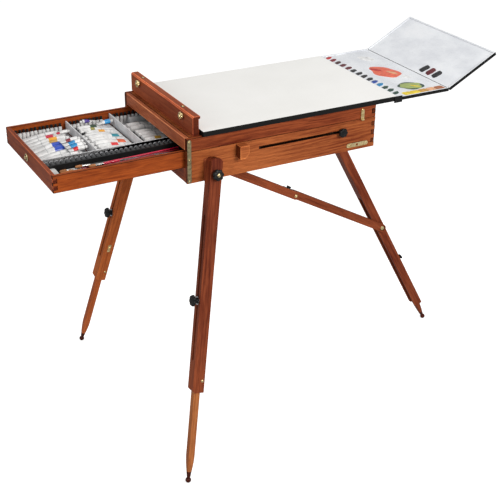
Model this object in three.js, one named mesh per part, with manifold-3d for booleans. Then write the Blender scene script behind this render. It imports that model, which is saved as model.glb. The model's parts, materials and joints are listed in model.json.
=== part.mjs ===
// French box easel with its drawer pulled out, legs spread, drawing board on the lid
// and a folding palette behind it. Millimetres, +Z up, the painter stands at -Y.
//
// The drawing frame used below has Y = 0 at the front of the box, Z = 0 at the
// underside of the box and X = 0 in the middle. The last lines move the easel so
// that it stands on Z = 0 with the origin under the middle of its bounding box.
import * as THREE from 'three';
import Module from 'manifold-3d';
import { mergeVertices } from 'three/addons/utils/BufferGeometryUtils.js';

const wasm = await Module();
wasm.setup();

// ---------------------------------------------------------------- dimensions
const GAP = 0.3; // clearance between pieces that touch

const BOX = { halfWidth: 195.5, length: 560, wall: 11, rim: 84, lidTop: 119 };
const LID_BOTTOM = BOX.rim + 0.6;
const LID_PIVOT = { y: 6, z: 112 };
const FLOOR_PANEL = { bottom: 30, top: 37.6 };
const FINGERS = { box: 7, lid: 3, drawer: 5 };

const SLOT = { front: 207, rear: 457, z: 60, height: 7 };
const SLOT_KNOB_Y = 452;
const STAY_ARM = { lidY: 168, lidZ: 95, thickness: 2, height: 12, gapFromWall: 1.7 };

const DRAWER = { halfWidth: 178.8, length: 540, bottom: 38, top: 83, wall: 10, out: 340.7 };
const DRAWER_BASE = { bottom: 39, top: 42 };
const CONTENTS = { lift: 6, top: 60 };

const TRAY = { x0: -198, x1: 186, front: 22, rear: 39, top: 170.3, lipRear: 43.2, lip: 8 };
const TRAY_KNOBS = [-140, 128];
const TRAY_KNOB_Z = 156;

const BOARD = { x0: -193, x1: 200, front: 44, rear: 623, bottom: 119.4, thickness: 13.6 };
const PALETTE = { x0: -200, x1: 200, front: 627, hinge: 798, bottom: 119.4, top: 129 };
const PALETTE_LID = { length: 171, tilt: THREE.MathUtils.degToRad(28) };
const PALETTE_RIM = { width: 5, depth: 2.4 };
const MAST = { halfWidth: 22, bottom: 105.5, top: 118.7, rear: 795, length: 430, grooveFront: 124 };

const FLOOR = -761;
const FOOT_RADIUS = 8;
const FRONT_LEG = {
  pivot: new THREE.Vector3(221, 61, 27),
  foot: new THREE.Vector3(392.2, -104, FLOOR + FOOT_RADIUS),
  width: 30, depth: 32, top: 40, end: 570, boreTop: 85, slotTop: 104, slotEnd: 485, knob: 326,
  pivotHole: 3.4, slotSide: -1,
};
const REAR_LEG = {
  pivot: new THREE.Vector3(0, 527.4, 14),
  foot: new THREE.Vector3(0, 949.1, FLOOR + FOOT_RADIUS),
  width: 34, depth: 26, top: 12, end: 804, boreTop: 240, slotTop: 490, slotEnd: 760, knob: 600,
  pivotHole: 4.4, slotSide: 1, window: { top: 309, width: 19 },
};
const FRONT_LOWER = { width: 17.6, depth: 17.6, top: 311 };
const REAR_LOWER = { width: 22, depth: 14.6, top: 325 };
const LEG_CLEARANCE = 0.6;
const LEG_TIP = { taper: 42, neckRadius: 4.6, neck: 16 };
const CLAMP_SLOT_HEIGHT = 7.4;

// The folding stay, in Y and Z: its pivot under the box, its bolt on the rear leg, and
// the place of its middle joint as a share of the way between them.
const STAY = {
  boxY: 73, boxZ: 9, boltAlongLeg: 433.2, joint: 0.5143,
  height: 23, thickness: 12, inner: 17.6, buttonBefore: 34,
};
const STAY_BOLT = { recess: 5, recessRadius: 9, headRadius: 7.4, headHeight: 4.4 };
const STAY_X = { lower: STAY.inner, upper: STAY.inner + STAY.thickness + GAP };
const STAY_PIN = 3.5;
const BOLT_RADIUS = 3;
const BOLT_HOLE = 3.4;
const KNOB = { lobes: 7, thickness: 0.6, bevel: 0.1, collar: 7 }; // thickness and bevel times radius
const KNOB_RADIUS = { legPivot: 15, slot: 13, frontClamp: 15, rearClamp: 8 };
const FRONT_CLAMP_COLLAR = 9.5;

// ---------------------------------------------------------------- materials
const wood = (hex) => new THREE.MeshStandardMaterial({ color: hex, roughness: 0.45, metalness: 0 });
const MATERIAL = {
  side: wood(0xb5602f),
  front: wood(0x7c3524),
  leg: wood(0x9c4a2a),
  lowerLeg: wood(0xb9713f),
  panel: wood(0xa85f38),
  brass: new THREE.MeshStandardMaterial({ color: 0xc9b06a, roughness: 0.3, metalness: 1 }),
  plastic: new THREE.MeshStandardMaterial({ color: 0x151515, roughness: 0.5, metalness: 0 }),
  board: new THREE.MeshStandardMaterial({ color: 0xeceae6, roughness: 0.6, metalness: 0 }),
  palette: new THREE.MeshStandardMaterial({ color: 0xdfe3e7, roughness: 0.35, metalness: 0 }),
  divider: new THREE.MeshStandardMaterial({ color: 0xd9d9d9, roughness: 0.5, metalness: 0 }),
  tubes: new THREE.MeshStandardMaterial({ color: 0xf0f0f0, roughness: 0.35, metalness: 0 }),
};

// ---------------------------------------------------------------- helpers
const easel = new THREE.Group();

function addPiece(name, geometry, material, parent = easel) {
  const mesh = new THREE.Mesh(geometry, material);
  mesh.name = name;
  parent.add(mesh);
  return mesh;
}

function toSolid(geometry) {
  const bare = geometry.clone();
  bare.deleteAttribute('normal');
  bare.deleteAttribute('uv');
  const merged = mergeVertices(bare, 1e-4);
  const vertProperties = new Float32Array(merged.attributes.position.array);
  const triVerts = new Uint32Array(merged.index.array);
  return new wasm.Manifold(new wasm.Mesh({ numProp: 3, vertProperties, triVerts }));
}

function toGeometry(solid) {
  const mesh = solid.getMesh();
  const geometry = new THREE.BufferGeometry();
  geometry.setAttribute('position', new THREE.BufferAttribute(mesh.vertProperties, 3));
  geometry.setIndex(new THREE.BufferAttribute(mesh.triVerts, 1));
  return geometry;
}

function join(first, ...others) {
  return toGeometry(others.reduce((sum, other) => sum.add(toSolid(other)), toSolid(first)));
}

function cut(first, ...tools) {
  return toGeometry(tools.reduce((rest, tool) => rest.subtract(toSolid(tool)), toSolid(first)));
}

function block(x0, x1, y0, y1, z0, z1) {
  const geometry = new THREE.BoxGeometry(x1 - x0, y1 - y0, z1 - z0);
  return geometry.translate((x0 + x1) / 2, (y0 + y1) / 2, (z0 + z1) / 2);
}

// A cylinder along X, Y or Z that starts at the given point.
function rod(axis, start, radius, length, segments = 16) {
  const geometry = new THREE.CylinderGeometry(radius, radius, length, segments);
  geometry.translate(0, length / 2, 0);
  if (axis === 'x') geometry.rotateZ(-Math.PI / 2);
  if (axis === 'z') geometry.rotateX(Math.PI / 2);
  return geometry.translate(start[0], start[1], start[2]);
}

function shapeOf(points) {
  return new THREE.Shape(points.map(([u, v]) => new THREE.Vector2(u, v)));
}

// Extrudes a shape drawn in Y (across) and Z (up) along X, from x0 to x1.
function extrudeX(shape, x0, x1) {
  const geometry = new THREE.ExtrudeGeometry(shape, { depth: x1 - x0, bevelEnabled: false, curveSegments: 8 });
  geometry.rotateX(Math.PI / 2);
  geometry.rotateZ(Math.PI / 2);
  return geometry.translate(x0, 0, 0);
}

// Extrudes a shape drawn in X (across) and Z (up) along Y, from y0 to y1.
function extrudeY(shape, y0, y1) {
  const geometry = new THREE.ExtrudeGeometry(shape, { depth: y1 - y0, bevelEnabled: false, curveSegments: 8 });
  geometry.rotateX(Math.PI / 2);
  return geometry.translate(0, y1, 0);
}

// A slot outline with round ends, running along u.
function slotPath(u0, u1, v, height) {
  const radius = height / 2;
  const path = new THREE.Path();
  path.moveTo(u0 + radius, v - radius);
  path.lineTo(u1 - radius, v - radius);
  path.absarc(u1 - radius, v, radius, -Math.PI / 2, Math.PI / 2, false);
  path.lineTo(u0 + radius, v + radius);
  path.absarc(u0 + radius, v, radius, Math.PI / 2, Math.PI * 1.5, false);
  return path;
}

// One end of a panel with finger joints: the outline's points from v0 up to v1.
// u is the finger tips' place, and the notches lie "depth" back from it.
function fingerEdge(u, depth, v0, v1, count, startsWithFinger) {
  const points = [];
  const pitch = (v1 - v0) / count;
  const inward = u > 0 ? -1 : 1;
  for (let i = 0; i < count; i += 1) {
    const isFinger = (i % 2 === 0) === startsWithFinger;
    const shrink = isFinger ? GAP / 2 : -GAP / 2;
    const low = i === 0 ? v0 : v0 + i * pitch + shrink;
    const high = i === count - 1 ? v1 : v0 + (i + 1) * pitch - shrink;
    const edge = isFinger ? u : u + inward * (depth + GAP);
    points.push([edge, low], [edge, high]);
  }
  return points;
}

// A star knob whose face looks along +Z, with its bolt reaching down from Z = 0.
function starKnob(radius, boltLength, collarHeight = KNOB.collar) {
  const bevel = radius * KNOB.bevel;
  const outline = new THREE.Shape();
  const steps = KNOB.lobes * 6;
  for (let i = 0; i < steps; i += 1) {
    const angle = (i / steps) * Math.PI * 2;
    const r = radius - bevel - radius * 0.09 * (1 - Math.cos(KNOB.lobes * angle));
    if (i === 0) outline.moveTo(r, 0);
    else outline.lineTo(r * Math.cos(angle), r * Math.sin(angle));
  }
  outline.closePath();
  const head = new THREE.ExtrudeGeometry(outline, {
    depth: radius * KNOB.thickness - 2 * bevel,
    bevelThickness: bevel,
    bevelSize: bevel,
    bevelSegments: 1,
  });
  head.translate(0, 0, collarHeight + bevel);
  const collar = rod('z', [0, 0, GAP], radius * 0.5, collarHeight + 1, 14);
  const bolt = rod('z', [0, 0, -boltLength], BOLT_RADIUS, boltLength + 2, 10);
  return join(head, collar, bolt);
}

// A turned brass knob whose face looks along +Z.
function brassKnob(radius, height) {
  const profile = [
    [0, 0], [radius * 0.7, 0], [radius * 0.75, height * 0.12], [radius * 0.42, height * 0.3],
    [radius * 0.45, height * 0.45], [radius * 0.95, height * 0.62], [radius, height * 0.8],
    [radius * 0.8, height * 0.95], [0, height],
  ];
  const geometry = new THREE.LatheGeometry(profile.map(([r, h]) => new THREE.Vector2(r, h)), 16);
  return geometry.rotateX(Math.PI / 2);
}

// Both sides of the easel: sign +1 is the right side, -1 the left.
const SIDES = [['right', 1], ['left', -1]];

function mirrored(geometry, sign) {
  return sign > 0 ? geometry : toGeometry(toSolid(geometry).mirror([1, 0, 0]));
}

// ---------------------------------------------------------------- box
function boxSide() {
  const { halfWidth, length, wall, rim } = BOX;
  const rear = fingerEdge(length, wall, 0, rim, FINGERS.box, true);
  const shape = shapeOf([[0, 0], ...rear, [0, rim]]);
  shape.holes.push(slotPath(SLOT.front, SLOT.rear, SLOT.z, SLOT.height));
  return extrudeX(shape, halfWidth - wall, halfWidth);
}

function boxBack() {
  const { halfWidth, length, wall, rim } = BOX;
  const right = fingerEdge(halfWidth, wall, 0, rim, FINGERS.box, false);
  const left = right.map(([u, v]) => [-u, v]).reverse();
  const notch = REAR_LEG.width / 2 + 2;
  const arch = [[-notch, 0], [-notch, FLOOR_PANEL.bottom], [notch, FLOOR_PANEL.bottom], [notch, 0]];
  return extrudeY(shapeOf([...arch, ...right, ...left]), length - wall, length);
}

function boxFrontRail() {
  const x = BOX.halfWidth - BOX.wall - GAP;
  const notch = REAR_LEG.width / 2 + 2;
  const z = FLOOR_PANEL.bottom;
  const outline = [
    [-x, 0], [-notch, 0], [-notch, z], [notch, z], [notch, 0], [x, 0],
    [x, FLOOR_PANEL.top], [-x, FLOOR_PANEL.top],
  ];
  return extrudeY(shapeOf(outline), 0, BOX.wall);
}

function boxBottom() {
  const x = BOX.halfWidth - BOX.wall - GAP;
  const y0 = BOX.wall + GAP;
  const y1 = BOX.length - BOX.wall - GAP;
  return block(-x, x, y0, y1, FLOOR_PANEL.bottom + GAP, FLOOR_PANEL.top);
}

// The wedge that a front leg turns against: its outer face is square to the leg's pivot.
function legWedge(splay) {
  const { pivot, width } = FRONT_LEG;
  const face = pivot.x * Math.cos(splay) + pivot.z * Math.sin(splay) - width / 2 - 2 * GAP;
  const faceX = (z) => (face - z * Math.sin(splay)) / Math.cos(splay);
  const inner = BOX.halfWidth + GAP;
  const top = 60;
  const outline = [[inner, 0.5], [faceX(0.5), 0.5], [faceX(top), top], [inner, top]];
  const wedge = extrudeY(shapeOf(outline), pivot.y - 15, pivot.y + 15);
  const hole = rod('x', [-2 * width, 0, 0], BOLT_HOLE, 3 * width, 16);
  hole.rotateY(-splay);
  hole.translate(pivot.x, pivot.y, pivot.z);
  return cut(wedge, hole);
}

function legStop() {
  const inner = BOX.halfWidth + GAP;
  const outline = new THREE.Shape();
  outline.moveTo(137, 49);
  outline.lineTo(150, 49);
  outline.quadraticCurveTo(158, 52, 163, 62);
  outline.lineTo(163, 83);
  outline.lineTo(137, 83);
  outline.closePath();
  return extrudeX(outline, inner, inner + 24);
}

function hingeStrap() {
  const radius = 5.5;
  const middle = 6;
  const outline = new THREE.Shape();
  outline.moveTo(middle - radius, 7);
  outline.absarc(middle, 7, radius, Math.PI, Math.PI * 2, false);
  outline.lineTo(middle + radius, LID_PIVOT.z);
  outline.absarc(middle, LID_PIVOT.z, radius, 0, Math.PI, false);
  outline.closePath();
  const inner = BOX.halfWidth + GAP;
  return extrudeX(outline, inner, inner + 2);
}

function catchPlate() {
  const inner = BOX.halfWidth + GAP;
  const outline = new THREE.Shape();
  const [y0, y1, z0, z1, r] = [471, 539, 9, 21, 6];
  outline.moveTo(y0 + r, z0);
  outline.lineTo(y1 - r, z0);
  outline.absarc(y1 - r, z0 + r, r, -Math.PI / 2, Math.PI / 2, false);
  outline.lineTo(y0 + r, z1);
  outline.absarc(y0 + r, z0 + r, r, Math.PI / 2, Math.PI * 1.5, false);
  const hole = new THREE.Path();
  hole.absarc(504, z0 + r, 3.2, 0, Math.PI * 2, true);
  outline.holes.push(hole);
  return extrudeX(outline, inner, inner + 1.6);
}

function rearLegBracket() {
  const { pivot, width } = REAR_LEG;
  const gap = width / 2 + 0.6;
  const cheek = 7;
  const top = FLOOR_PANEL.bottom;
  const shape = new THREE.Shape();
  shape.moveTo(pivot.y - 20, top);
  shape.lineTo(pivot.y - 12, pivot.z);
  shape.absarc(pivot.y, pivot.z, 12, Math.PI, Math.PI * 2, false);
  shape.lineTo(pivot.y + 20, top);
  shape.closePath();
  const right = extrudeX(shape, gap, gap + cheek);
  const left = extrudeX(shape, -gap - cheek, -gap);
  const pin = rod('x', [-gap - 2, pivot.y, pivot.z], 4, 2 * gap + 4, 16);
  return join(right, left, pin);
}

function stayBracket() {
  const { boxY, boxZ, thickness } = STAY;
  const start = STAY_X.upper + thickness + GAP;
  const shape = new THREE.Shape();
  shape.moveTo(boxY - 16, FLOOR_PANEL.bottom);
  shape.lineTo(boxY - 10, boxZ);
  shape.absarc(boxY, boxZ, 10, Math.PI, Math.PI * 2, false);
  shape.lineTo(boxY + 16, FLOOR_PANEL.bottom);
  shape.closePath();
  const cheek = extrudeX(shape, start, start + 8);
  const pin = rod('x', [STAY_X.upper, boxY, boxZ], STAY_PIN, thickness + 3, 14);
  return join(cheek, pin);
}

// ---------------------------------------------------------------- lid
function lidSide() {
  const { halfWidth, length, wall, lidTop } = BOX;
  const rear = fingerEdge(length, wall, LID_BOTTOM, lidTop, FINGERS.lid, true);
  const shape = shapeOf([[4, LID_BOTTOM], ...rear, [0, lidTop], [0, LID_BOTTOM + 3]]);
  return extrudeX(shape, halfWidth - wall, halfWidth);
}

function lidFrontRail() {
  const x = BOX.halfWidth - BOX.wall - GAP;
  const shape = shapeOf([
    [4, LID_BOTTOM], [BOX.wall, LID_BOTTOM], [BOX.wall, BOX.lidTop], [0, BOX.lidTop], [0, LID_BOTTOM + 3],
  ]);
  return extrudeX(shape, -x, x);
}

function lidBackRail() {
  const { halfWidth, length, wall, lidTop } = BOX;
  const right = fingerEdge(halfWidth, wall, LID_BOTTOM, lidTop, FINGERS.lid, false);
  const left = right.map(([u, v]) => [-u, v]).reverse();
  const notch = MAST.halfWidth + 0.6;
  const z = MAST.bottom - 0.6;
  const groove = [[notch, lidTop], [notch, z], [-notch, z], [-notch, lidTop]];
  return extrudeY(shapeOf([...right, ...groove, ...left]), length - wall, length);
}

// The lid's top with the groove that the mast slides in, open at the rear.
function lidPanel() {
  const x = BOX.halfWidth - BOX.wall - GAP;
  const rear = BOX.length - BOX.wall - GAP;
  const groove = MAST.halfWidth + 0.6;
  const grooveZ = MAST.bottom - 0.6;
  const plateZ = BOX.lidTop - 7;
  const trough = groove + 8;
  const outline = [
    [-x, plateZ], [-trough, plateZ], [-trough, grooveZ - 5], [trough, grooveZ - 5], [trough, plateZ],
    [x, plateZ], [x, BOX.lidTop], [-x, BOX.lidTop],
  ];
  const panel = extrudeY(shapeOf(outline), BOX.wall + GAP, rear);
  return cut(panel, block(-groove, groove, MAST.grooveFront, rear + 1, grooveZ, BOX.lidTop + 1));
}

function latch() {
  const inner = BOX.halfWidth + GAP;
  const outline = new THREE.Shape();
  outline.moveTo(512, 86);
  outline.absarc(517, 86, 5, Math.PI, Math.PI * 2, false);
  outline.lineTo(522, 109);
  outline.absarc(517, 109, 5, 0, Math.PI, false);
  outline.closePath();
  const plate = extrudeX(outline, inner, inner + 2);
  const tab = block(inner + 1, inner + 5, 512.5, 521.5, 82, 86);
  const pivotHead = rod('x', [inner + 1, 517, 109], 3.4, 2.6, 12);
  return join(plate, tab, pivotHead);
}

function stayArm() {
  const x0 = BOX.halfWidth - BOX.wall - STAY_ARM.gapFromWall - STAY_ARM.thickness;
  const dy = SLOT_KNOB_Y - STAY_ARM.lidY;
  const dz = SLOT.z - STAY_ARM.lidZ;
  const length = Math.hypot(dy, dz);
  const outline = new THREE.Shape();
  const radius = STAY_ARM.height / 2;
  outline.moveTo(0, -radius);
  outline.lineTo(length, -radius);
  outline.absarc(length, 0, radius, -Math.PI / 2, Math.PI / 2, false);
  outline.lineTo(0, radius);
  outline.absarc(0, 0, radius, Math.PI / 2, Math.PI * 1.5, false);
  const arm = extrudeX(outline, x0, x0 + STAY_ARM.thickness);
  arm.rotateX(Math.atan2(dz, dy));
  return arm.translate(0, STAY_ARM.lidY, STAY_ARM.lidZ);
}

function mast() {
  const { halfWidth, bottom, top, rear, length } = MAST;
  const shape = new THREE.Shape();
  const corner = 10;
  shape.moveTo(-halfWidth, rear - length);
  shape.lineTo(halfWidth, rear - length);
  shape.lineTo(halfWidth, rear - corner);
  shape.absarc(halfWidth - corner, rear - corner, corner, 0, Math.PI / 2, false);
  shape.lineTo(corner - halfWidth, rear);
  shape.absarc(corner - halfWidth, rear - corner, corner, Math.PI / 2, Math.PI, false);
  const geometry = new THREE.ExtrudeGeometry(shape, {
    depth: top - bottom, bevelEnabled: false, curveSegments: 4,
  });
  return geometry.translate(0, 0, bottom);
}

function trayBar() {
  const { x0, x1, front, rear, top, lipRear, lip } = TRAY;
  const shape = shapeOf([
    [front, BOX.lidTop + GAP], [rear, BOX.lidTop + GAP], [rear, top - lip], [lipRear, top - lip + 1.5],
    [lipRear, top], [front + 3, top], [front, top - 3],
  ]);
  return extrudeX(shape, x0, x1);
}

// ---------------------------------------------------------------- drawer
const DRAWER_Y = { front: -DRAWER.out, rear: DRAWER.length - DRAWER.out };

function drawerSide() {
  const { halfWidth, length, bottom, top, wall } = DRAWER;
  const half = length / 2;
  const rear = fingerEdge(half, wall, bottom, top, FINGERS.drawer, true);
  const front = rear.map(([u, v]) => [-u, v]).reverse();
  const geometry = extrudeX(shapeOf([...rear, ...front]), halfWidth - wall, halfWidth);
  return geometry.translate(0, (DRAWER_Y.front + DRAWER_Y.rear) / 2, 0);
}

function drawerEnd(y0) {
  const { halfWidth, bottom, top, wall } = DRAWER;
  const right = fingerEdge(halfWidth, wall, bottom, top, FINGERS.drawer, false);
  const left = right.map(([u, v]) => [-u, v]).reverse();
  return extrudeY(shapeOf([...right, ...left]), y0, y0 + wall);
}

const INSIDE = {
  x: DRAWER.halfWidth - DRAWER.wall - GAP,
  front: DRAWER_Y.front + DRAWER.wall + GAP,
  rear: DRAWER_Y.rear - DRAWER.wall - GAP,
};
const DIVIDER = { thickness: 3, tubesX: 58, brushX: 102, top: 76 };
const CROSS_Y = [-183, -59];
const BRUSHES = { x0: 110, x1: 158, reach: 340, height: 9 };

function drawerBottom() {
  return block(-INSIDE.x, INSIDE.x, INSIDE.front, INSIDE.rear, DRAWER_BASE.bottom, DRAWER_BASE.top);
}

// A lattice of thin strips: two run along the drawer, the others across its wide part.
function drawerDividers() {
  const floor = DRAWER_BASE.top + GAP;
  const { thickness, tubesX, brushX, top } = DIVIDER;
  const ends = [INSIDE.front + 0.5, INSIDE.rear - thickness - 0.5];
  const brushStrip = block(brushX, brushX + thickness, INSIDE.front, INSIDE.rear, floor, top);
  const raised = floor + CONTENTS.lift;
  const tubesStrip = block(tubesX, tubesX + thickness, INSIDE.front, INSIDE.rear, raised, top);
  const across = CROSS_Y.map((y) => (
    block(-INSIDE.x, tubesX + 1, y, y + thickness, raised + 0.5, top - 0.5)
  ));
  const links = ends.map((y) => (
    block(tubesX + 1, brushX + 1, y, y + thickness, raised + 0.5, top - 0.5)
  ));
  return join(brushStrip, tubesStrip, ...across, ...links);
}

// The paint tubes and the row of sticks beside them as one plain bed, joined below the strips.
function paintTubes() {
  const floor = DRAWER_BASE.top + GAP;
  const { thickness, tubesX, brushX } = DIVIDER;
  const x0 = 1 - INSIDE.x;
  const x1 = tubesX - 1;
  const stickEnd = brushX - 1;
  const rear = INSIDE.rear - 60;
  const base = block(x0, stickEnd, INSIDE.front + 1, rear, floor, floor + CONTENTS.lift - GAP);
  const edges = [
    [INSIDE.front, CROSS_Y[0]], [CROSS_Y[0] + thickness, CROSS_Y[1]], [CROSS_Y[1] + thickness, rear + 1],
  ];
  const beds = edges.map(([y0, y1]) => block(x0, x1, y0 + 1, y1 - 1, floor + 1, CONTENTS.top));
  const stickX = tubesX + thickness + 1;
  const sticks = block(stickX, stickEnd, INSIDE.front + thickness + 1, rear, floor + 1, CONTENTS.top);
  return join(base, ...beds, sticks);
}

function brushes() {
  const floor = DRAWER_BASE.top + GAP;
  const y0 = INSIDE.front + 12;
  return block(BRUSHES.x0, BRUSHES.x1, y0, y0 + BRUSHES.reach, floor, floor + BRUSHES.height);
}

// ---------------------------------------------------------------- board and palette
function drawingBoard() {
  const { x0, x1, front, rear, bottom, thickness } = BOARD;
  return block(x0, x1, front, rear, bottom, bottom + thickness);
}

// A shallow tray of the palette, lying flat, from y = 0 to y = length, rim up.
function paletteTray(length, lipAtEnd) {
  const { x0, x1, bottom, top } = PALETTE;
  const height = top - bottom;
  const { width, depth } = PALETTE_RIM;
  const body = block(x0, x1, 0, length, -height, 0);
  const y0 = lipAtEnd ? -1 : width;
  const y1 = lipAtEnd ? length - width : length + 1;
  return cut(body, block(x0 + width, x1 - width, y0, y1, -depth, 1));
}

function palettePan() {
  const { front, hinge, top } = PALETTE;
  return paletteTray(hinge - GAP - front, false).translate(0, front, top);
}

function paletteLid() {
  const tray = paletteTray(PALETTE_LID.length, true);
  tray.translate(0, GAP, 0);
  tray.rotateX(PALETTE_LID.tilt);
  return tray.translate(0, PALETTE.hinge, PALETTE.top);
}

// The clip that holds the palette against the board at the near corner.
function paletteClip() {
  const x0 = BOARD.x1 + GAP;
  const top = BOARD.bottom + BOARD.thickness;
  const y0 = BOARD.rear - 9;
  const y1 = PALETTE.front + 12;
  const plate = block(x0, x0 + 3, y0, y1, PALETTE.bottom - 4, top);
  const lower = block(x0 - 26, x0 + 1, PALETTE.front, y1, PALETTE.bottom - 4, PALETTE.bottom - GAP);
  return join(plate, lower);
}

// ---------------------------------------------------------------- legs
// A leg frame has its origin at the pivot, Z up along the leg, X square to the pivot
// plane (outward) and Y to the rear. The leg runs from its pivot down to -Z.
function legFrame(pivot, foot) {
  const up = pivot.clone().sub(foot).normalize();
  const rearward = new THREE.Vector3(0, 1, 0);
  const outward = rearward.clone().cross(up).normalize();
  const back = up.clone().cross(outward);
  const frame = new THREE.Matrix4().makeBasis(outward, back, up);
  return frame.setPosition(pivot);
}

function hollowLeg(leg, inner) {
  const { width, depth, top, end, boreTop, slotTop, slotEnd, slotSide } = leg;
  const half = depth / 2;
  const outline = shapeOf([
    [-half, 7 - end], [7 - half, -end], [half, -end], [half, top - 7], [half - 7, top],
    [7 - half, top], [-half, top - 7],
  ]);
  const body = extrudeX(outline, -width / 2, width / 2);
  const boreX = (inner.width + LEG_CLEARANCE) / 2;
  const boreY = (inner.depth + LEG_CLEARANCE) / 2;
  const bore = block(-boreX, boreX, -boreY, boreY, -end - 1, -boreTop);
  const pivotHole = rod('x', [-width, 0, 0], leg.pivotHole, 2 * width, 16);
  const slotShape = new THREE.Shape(slotPath(slotTop, slotEnd, 0, CLAMP_SLOT_HEIGHT).getPoints(6));
  const slotDepth = half - boreY + 2;
  const slot = new THREE.ExtrudeGeometry(slotShape, { depth: slotDepth, bevelEnabled: false });
  slot.rotateX(-Math.PI / 2);
  slot.rotateY(Math.PI / 2);
  slot.translate(0, slotSide > 0 ? boreY - 1 : -half - 1, 0);
  const tools = [bore, pivotHole, slot];
  if (leg.window) {
    const x = leg.window.width / 2;
    tools.push(block(-x, x, -half - 1, 1 - boreY, -end - 1, -leg.window.top));
  }
  return cut(body, ...tools);
}

// A sliding lower leg: a square bar that tapers to a neck and ends in a ball. The
// clamp knob's bolt enters its blind hole at "knob", on the side that "side" gives.
function lowerLeg({ width, depth, top }, footAt, knob, side) {
  const neckStart = footAt - FOOT_RADIUS - LEG_TIP.neck;
  const taperStart = neckStart - LEG_TIP.taper;
  const bar = block(-width / 2, width / 2, -depth / 2, depth / 2, -taperStart, -top);
  const cone = new THREE.CylinderGeometry(width / Math.SQRT2, LEG_TIP.neckRadius * 1.5, LEG_TIP.taper + 1, 4);
  cone.rotateX(Math.PI / 2);
  cone.rotateZ(Math.PI / 4);
  cone.scale(1, depth / width, 1);
  cone.translate(0, 0, -(taperStart + LEG_TIP.taper / 2) + 0.5);
  const neck = rod('z', [0, 0, -footAt], LEG_TIP.neckRadius, footAt - neckStart + 4, 12);
  const ball = new THREE.SphereGeometry(FOOT_RADIUS, 14, 10);
  ball.rotateX(Math.PI / 2);
  ball.translate(0, 0, -footAt);
  const hole = rod('y', [0, side > 0 ? 1 : -depth, -knob], BOLT_HOLE, depth - 1, 12);
  return cut(join(bar, cone, neck, ball), hole);
}

function clampKnob(leg, inner, radius, collar) {
  const face = leg.depth / 2;
  const knob = starKnob(radius, face - inner.depth / 2 + 5, collar);
  knob.rotateX(leg.slotSide > 0 ? -Math.PI / 2 : Math.PI / 2);
  return knob.translate(0, leg.slotSide * face, -leg.knob);
}

// ---------------------------------------------------------------- folding stay
// A bar with round ends in the Y-Z plane, from its start to its end, with holes.
function stayBar(x0, from, to, holes) {
  const length = to.clone().sub(from).length();
  const radius = STAY.height / 2;
  const outline = new THREE.Shape();
  outline.moveTo(0, -radius);
  outline.lineTo(length, -radius);
  outline.absarc(length, 0, radius, -Math.PI / 2, Math.PI / 2, false);
  outline.lineTo(0, radius);
  outline.absarc(0, 0, radius, Math.PI / 2, Math.PI * 1.5, false);
  holes.forEach(([u, r]) => {
    const hole = new THREE.Path();
    hole.absarc(u === 'end' ? length : u, 0, r, 0, Math.PI * 2, true);
    outline.holes.push(hole);
  });
  const bar = extrudeX(outline, x0, x0 + STAY.thickness);
  const direction = to.clone().sub(from);
  bar.rotateX(Math.atan2(direction.y, direction.x));
  return bar.translate(0, from.x, from.y);
}

const rearDirection = REAR_LEG.foot.clone().sub(REAR_LEG.pivot).normalize();
const stayBox = new THREE.Vector2(STAY.boxY, STAY.boxZ);
const stayBolt = new THREE.Vector2(
  REAR_LEG.pivot.y + STAY.boltAlongLeg * rearDirection.y,
  REAR_LEG.pivot.z + STAY.boltAlongLeg * rearDirection.z,
);
const stayJoint = stayBox.clone().lerp(stayBolt, STAY.joint);
const staySlope = Math.atan2(stayBolt.y - stayBox.y, stayBolt.x - stayBox.x);

function stayUpper() {
  const bar = stayBar(STAY_X.upper, stayBox, stayJoint, [[0, STAY_PIN + 0.4]]);
  const pin = rod('x', [STAY_X.lower + 1, stayJoint.x, stayJoint.y], STAY_PIN, STAY.thickness + 4, 14);
  return join(bar, pin);
}

const staySeat = STAY_X.lower + STAY.thickness - STAY_BOLT.recess;

// The lower bar, with a round recess in its outer face for the bolt's head.
function stayLower() {
  const holes = [[0, STAY_PIN + 0.4], ['end', BOLT_HOLE]];
  const bar = stayBar(STAY_X.lower, stayJoint, stayBolt, holes);
  const { recess, recessRadius } = STAY_BOLT;
  return cut(bar, rod('x', [staySeat, stayBolt.x, stayBolt.y], recessRadius, recess + 1, 24));
}

// The bolt at the rear leg, with a low domed head along +X.
function stayLegBolt() {
  const { headRadius: r, headHeight: h } = STAY_BOLT;
  const profile = [[0, 0], [r, 0], [r, h * 0.5], [r * 0.8, h * 0.85], [0, h]];
  const head = new THREE.LatheGeometry(profile.map(([u, v]) => new THREE.Vector2(u, v)), 20);
  head.rotateZ(-Math.PI / 2);
  head.translate(staySeat + GAP, stayBolt.x, stayBolt.y);
  const shank = rod('x', [STAY_X.lower, stayBolt.x, stayBolt.y], BOLT_RADIUS, staySeat + 1 - STAY_X.lower, 12);
  return join(head, shank);
}

// The button that locks the stay straight, on the upper bar's top edge.
function stayButton() {
  const height = 6.5;
  const profile = [[0, 0], [5, 0], [5, 2.4], [7, 3.4], [7, height - 1], [5.6, height], [0, height]];
  const button = new THREE.LatheGeometry(profile.map(([r, h]) => new THREE.Vector2(r, h)), 16);
  button.rotateX(Math.PI / 2);
  button.translate(0, 0, STAY.height / 2 + GAP);
  button.rotateX(staySlope);
  const at = stayJoint.clone().sub(stayBox);
  at.setLength(at.length() - STAY.buttonBefore).add(stayBox);
  return button.translate(STAY_X.upper + STAY.thickness / 2, at.x, at.y);
}

// ---------------------------------------------------------------- knobs on the box and tray
const slotWallInner = BOX.halfWidth - BOX.wall;

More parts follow.
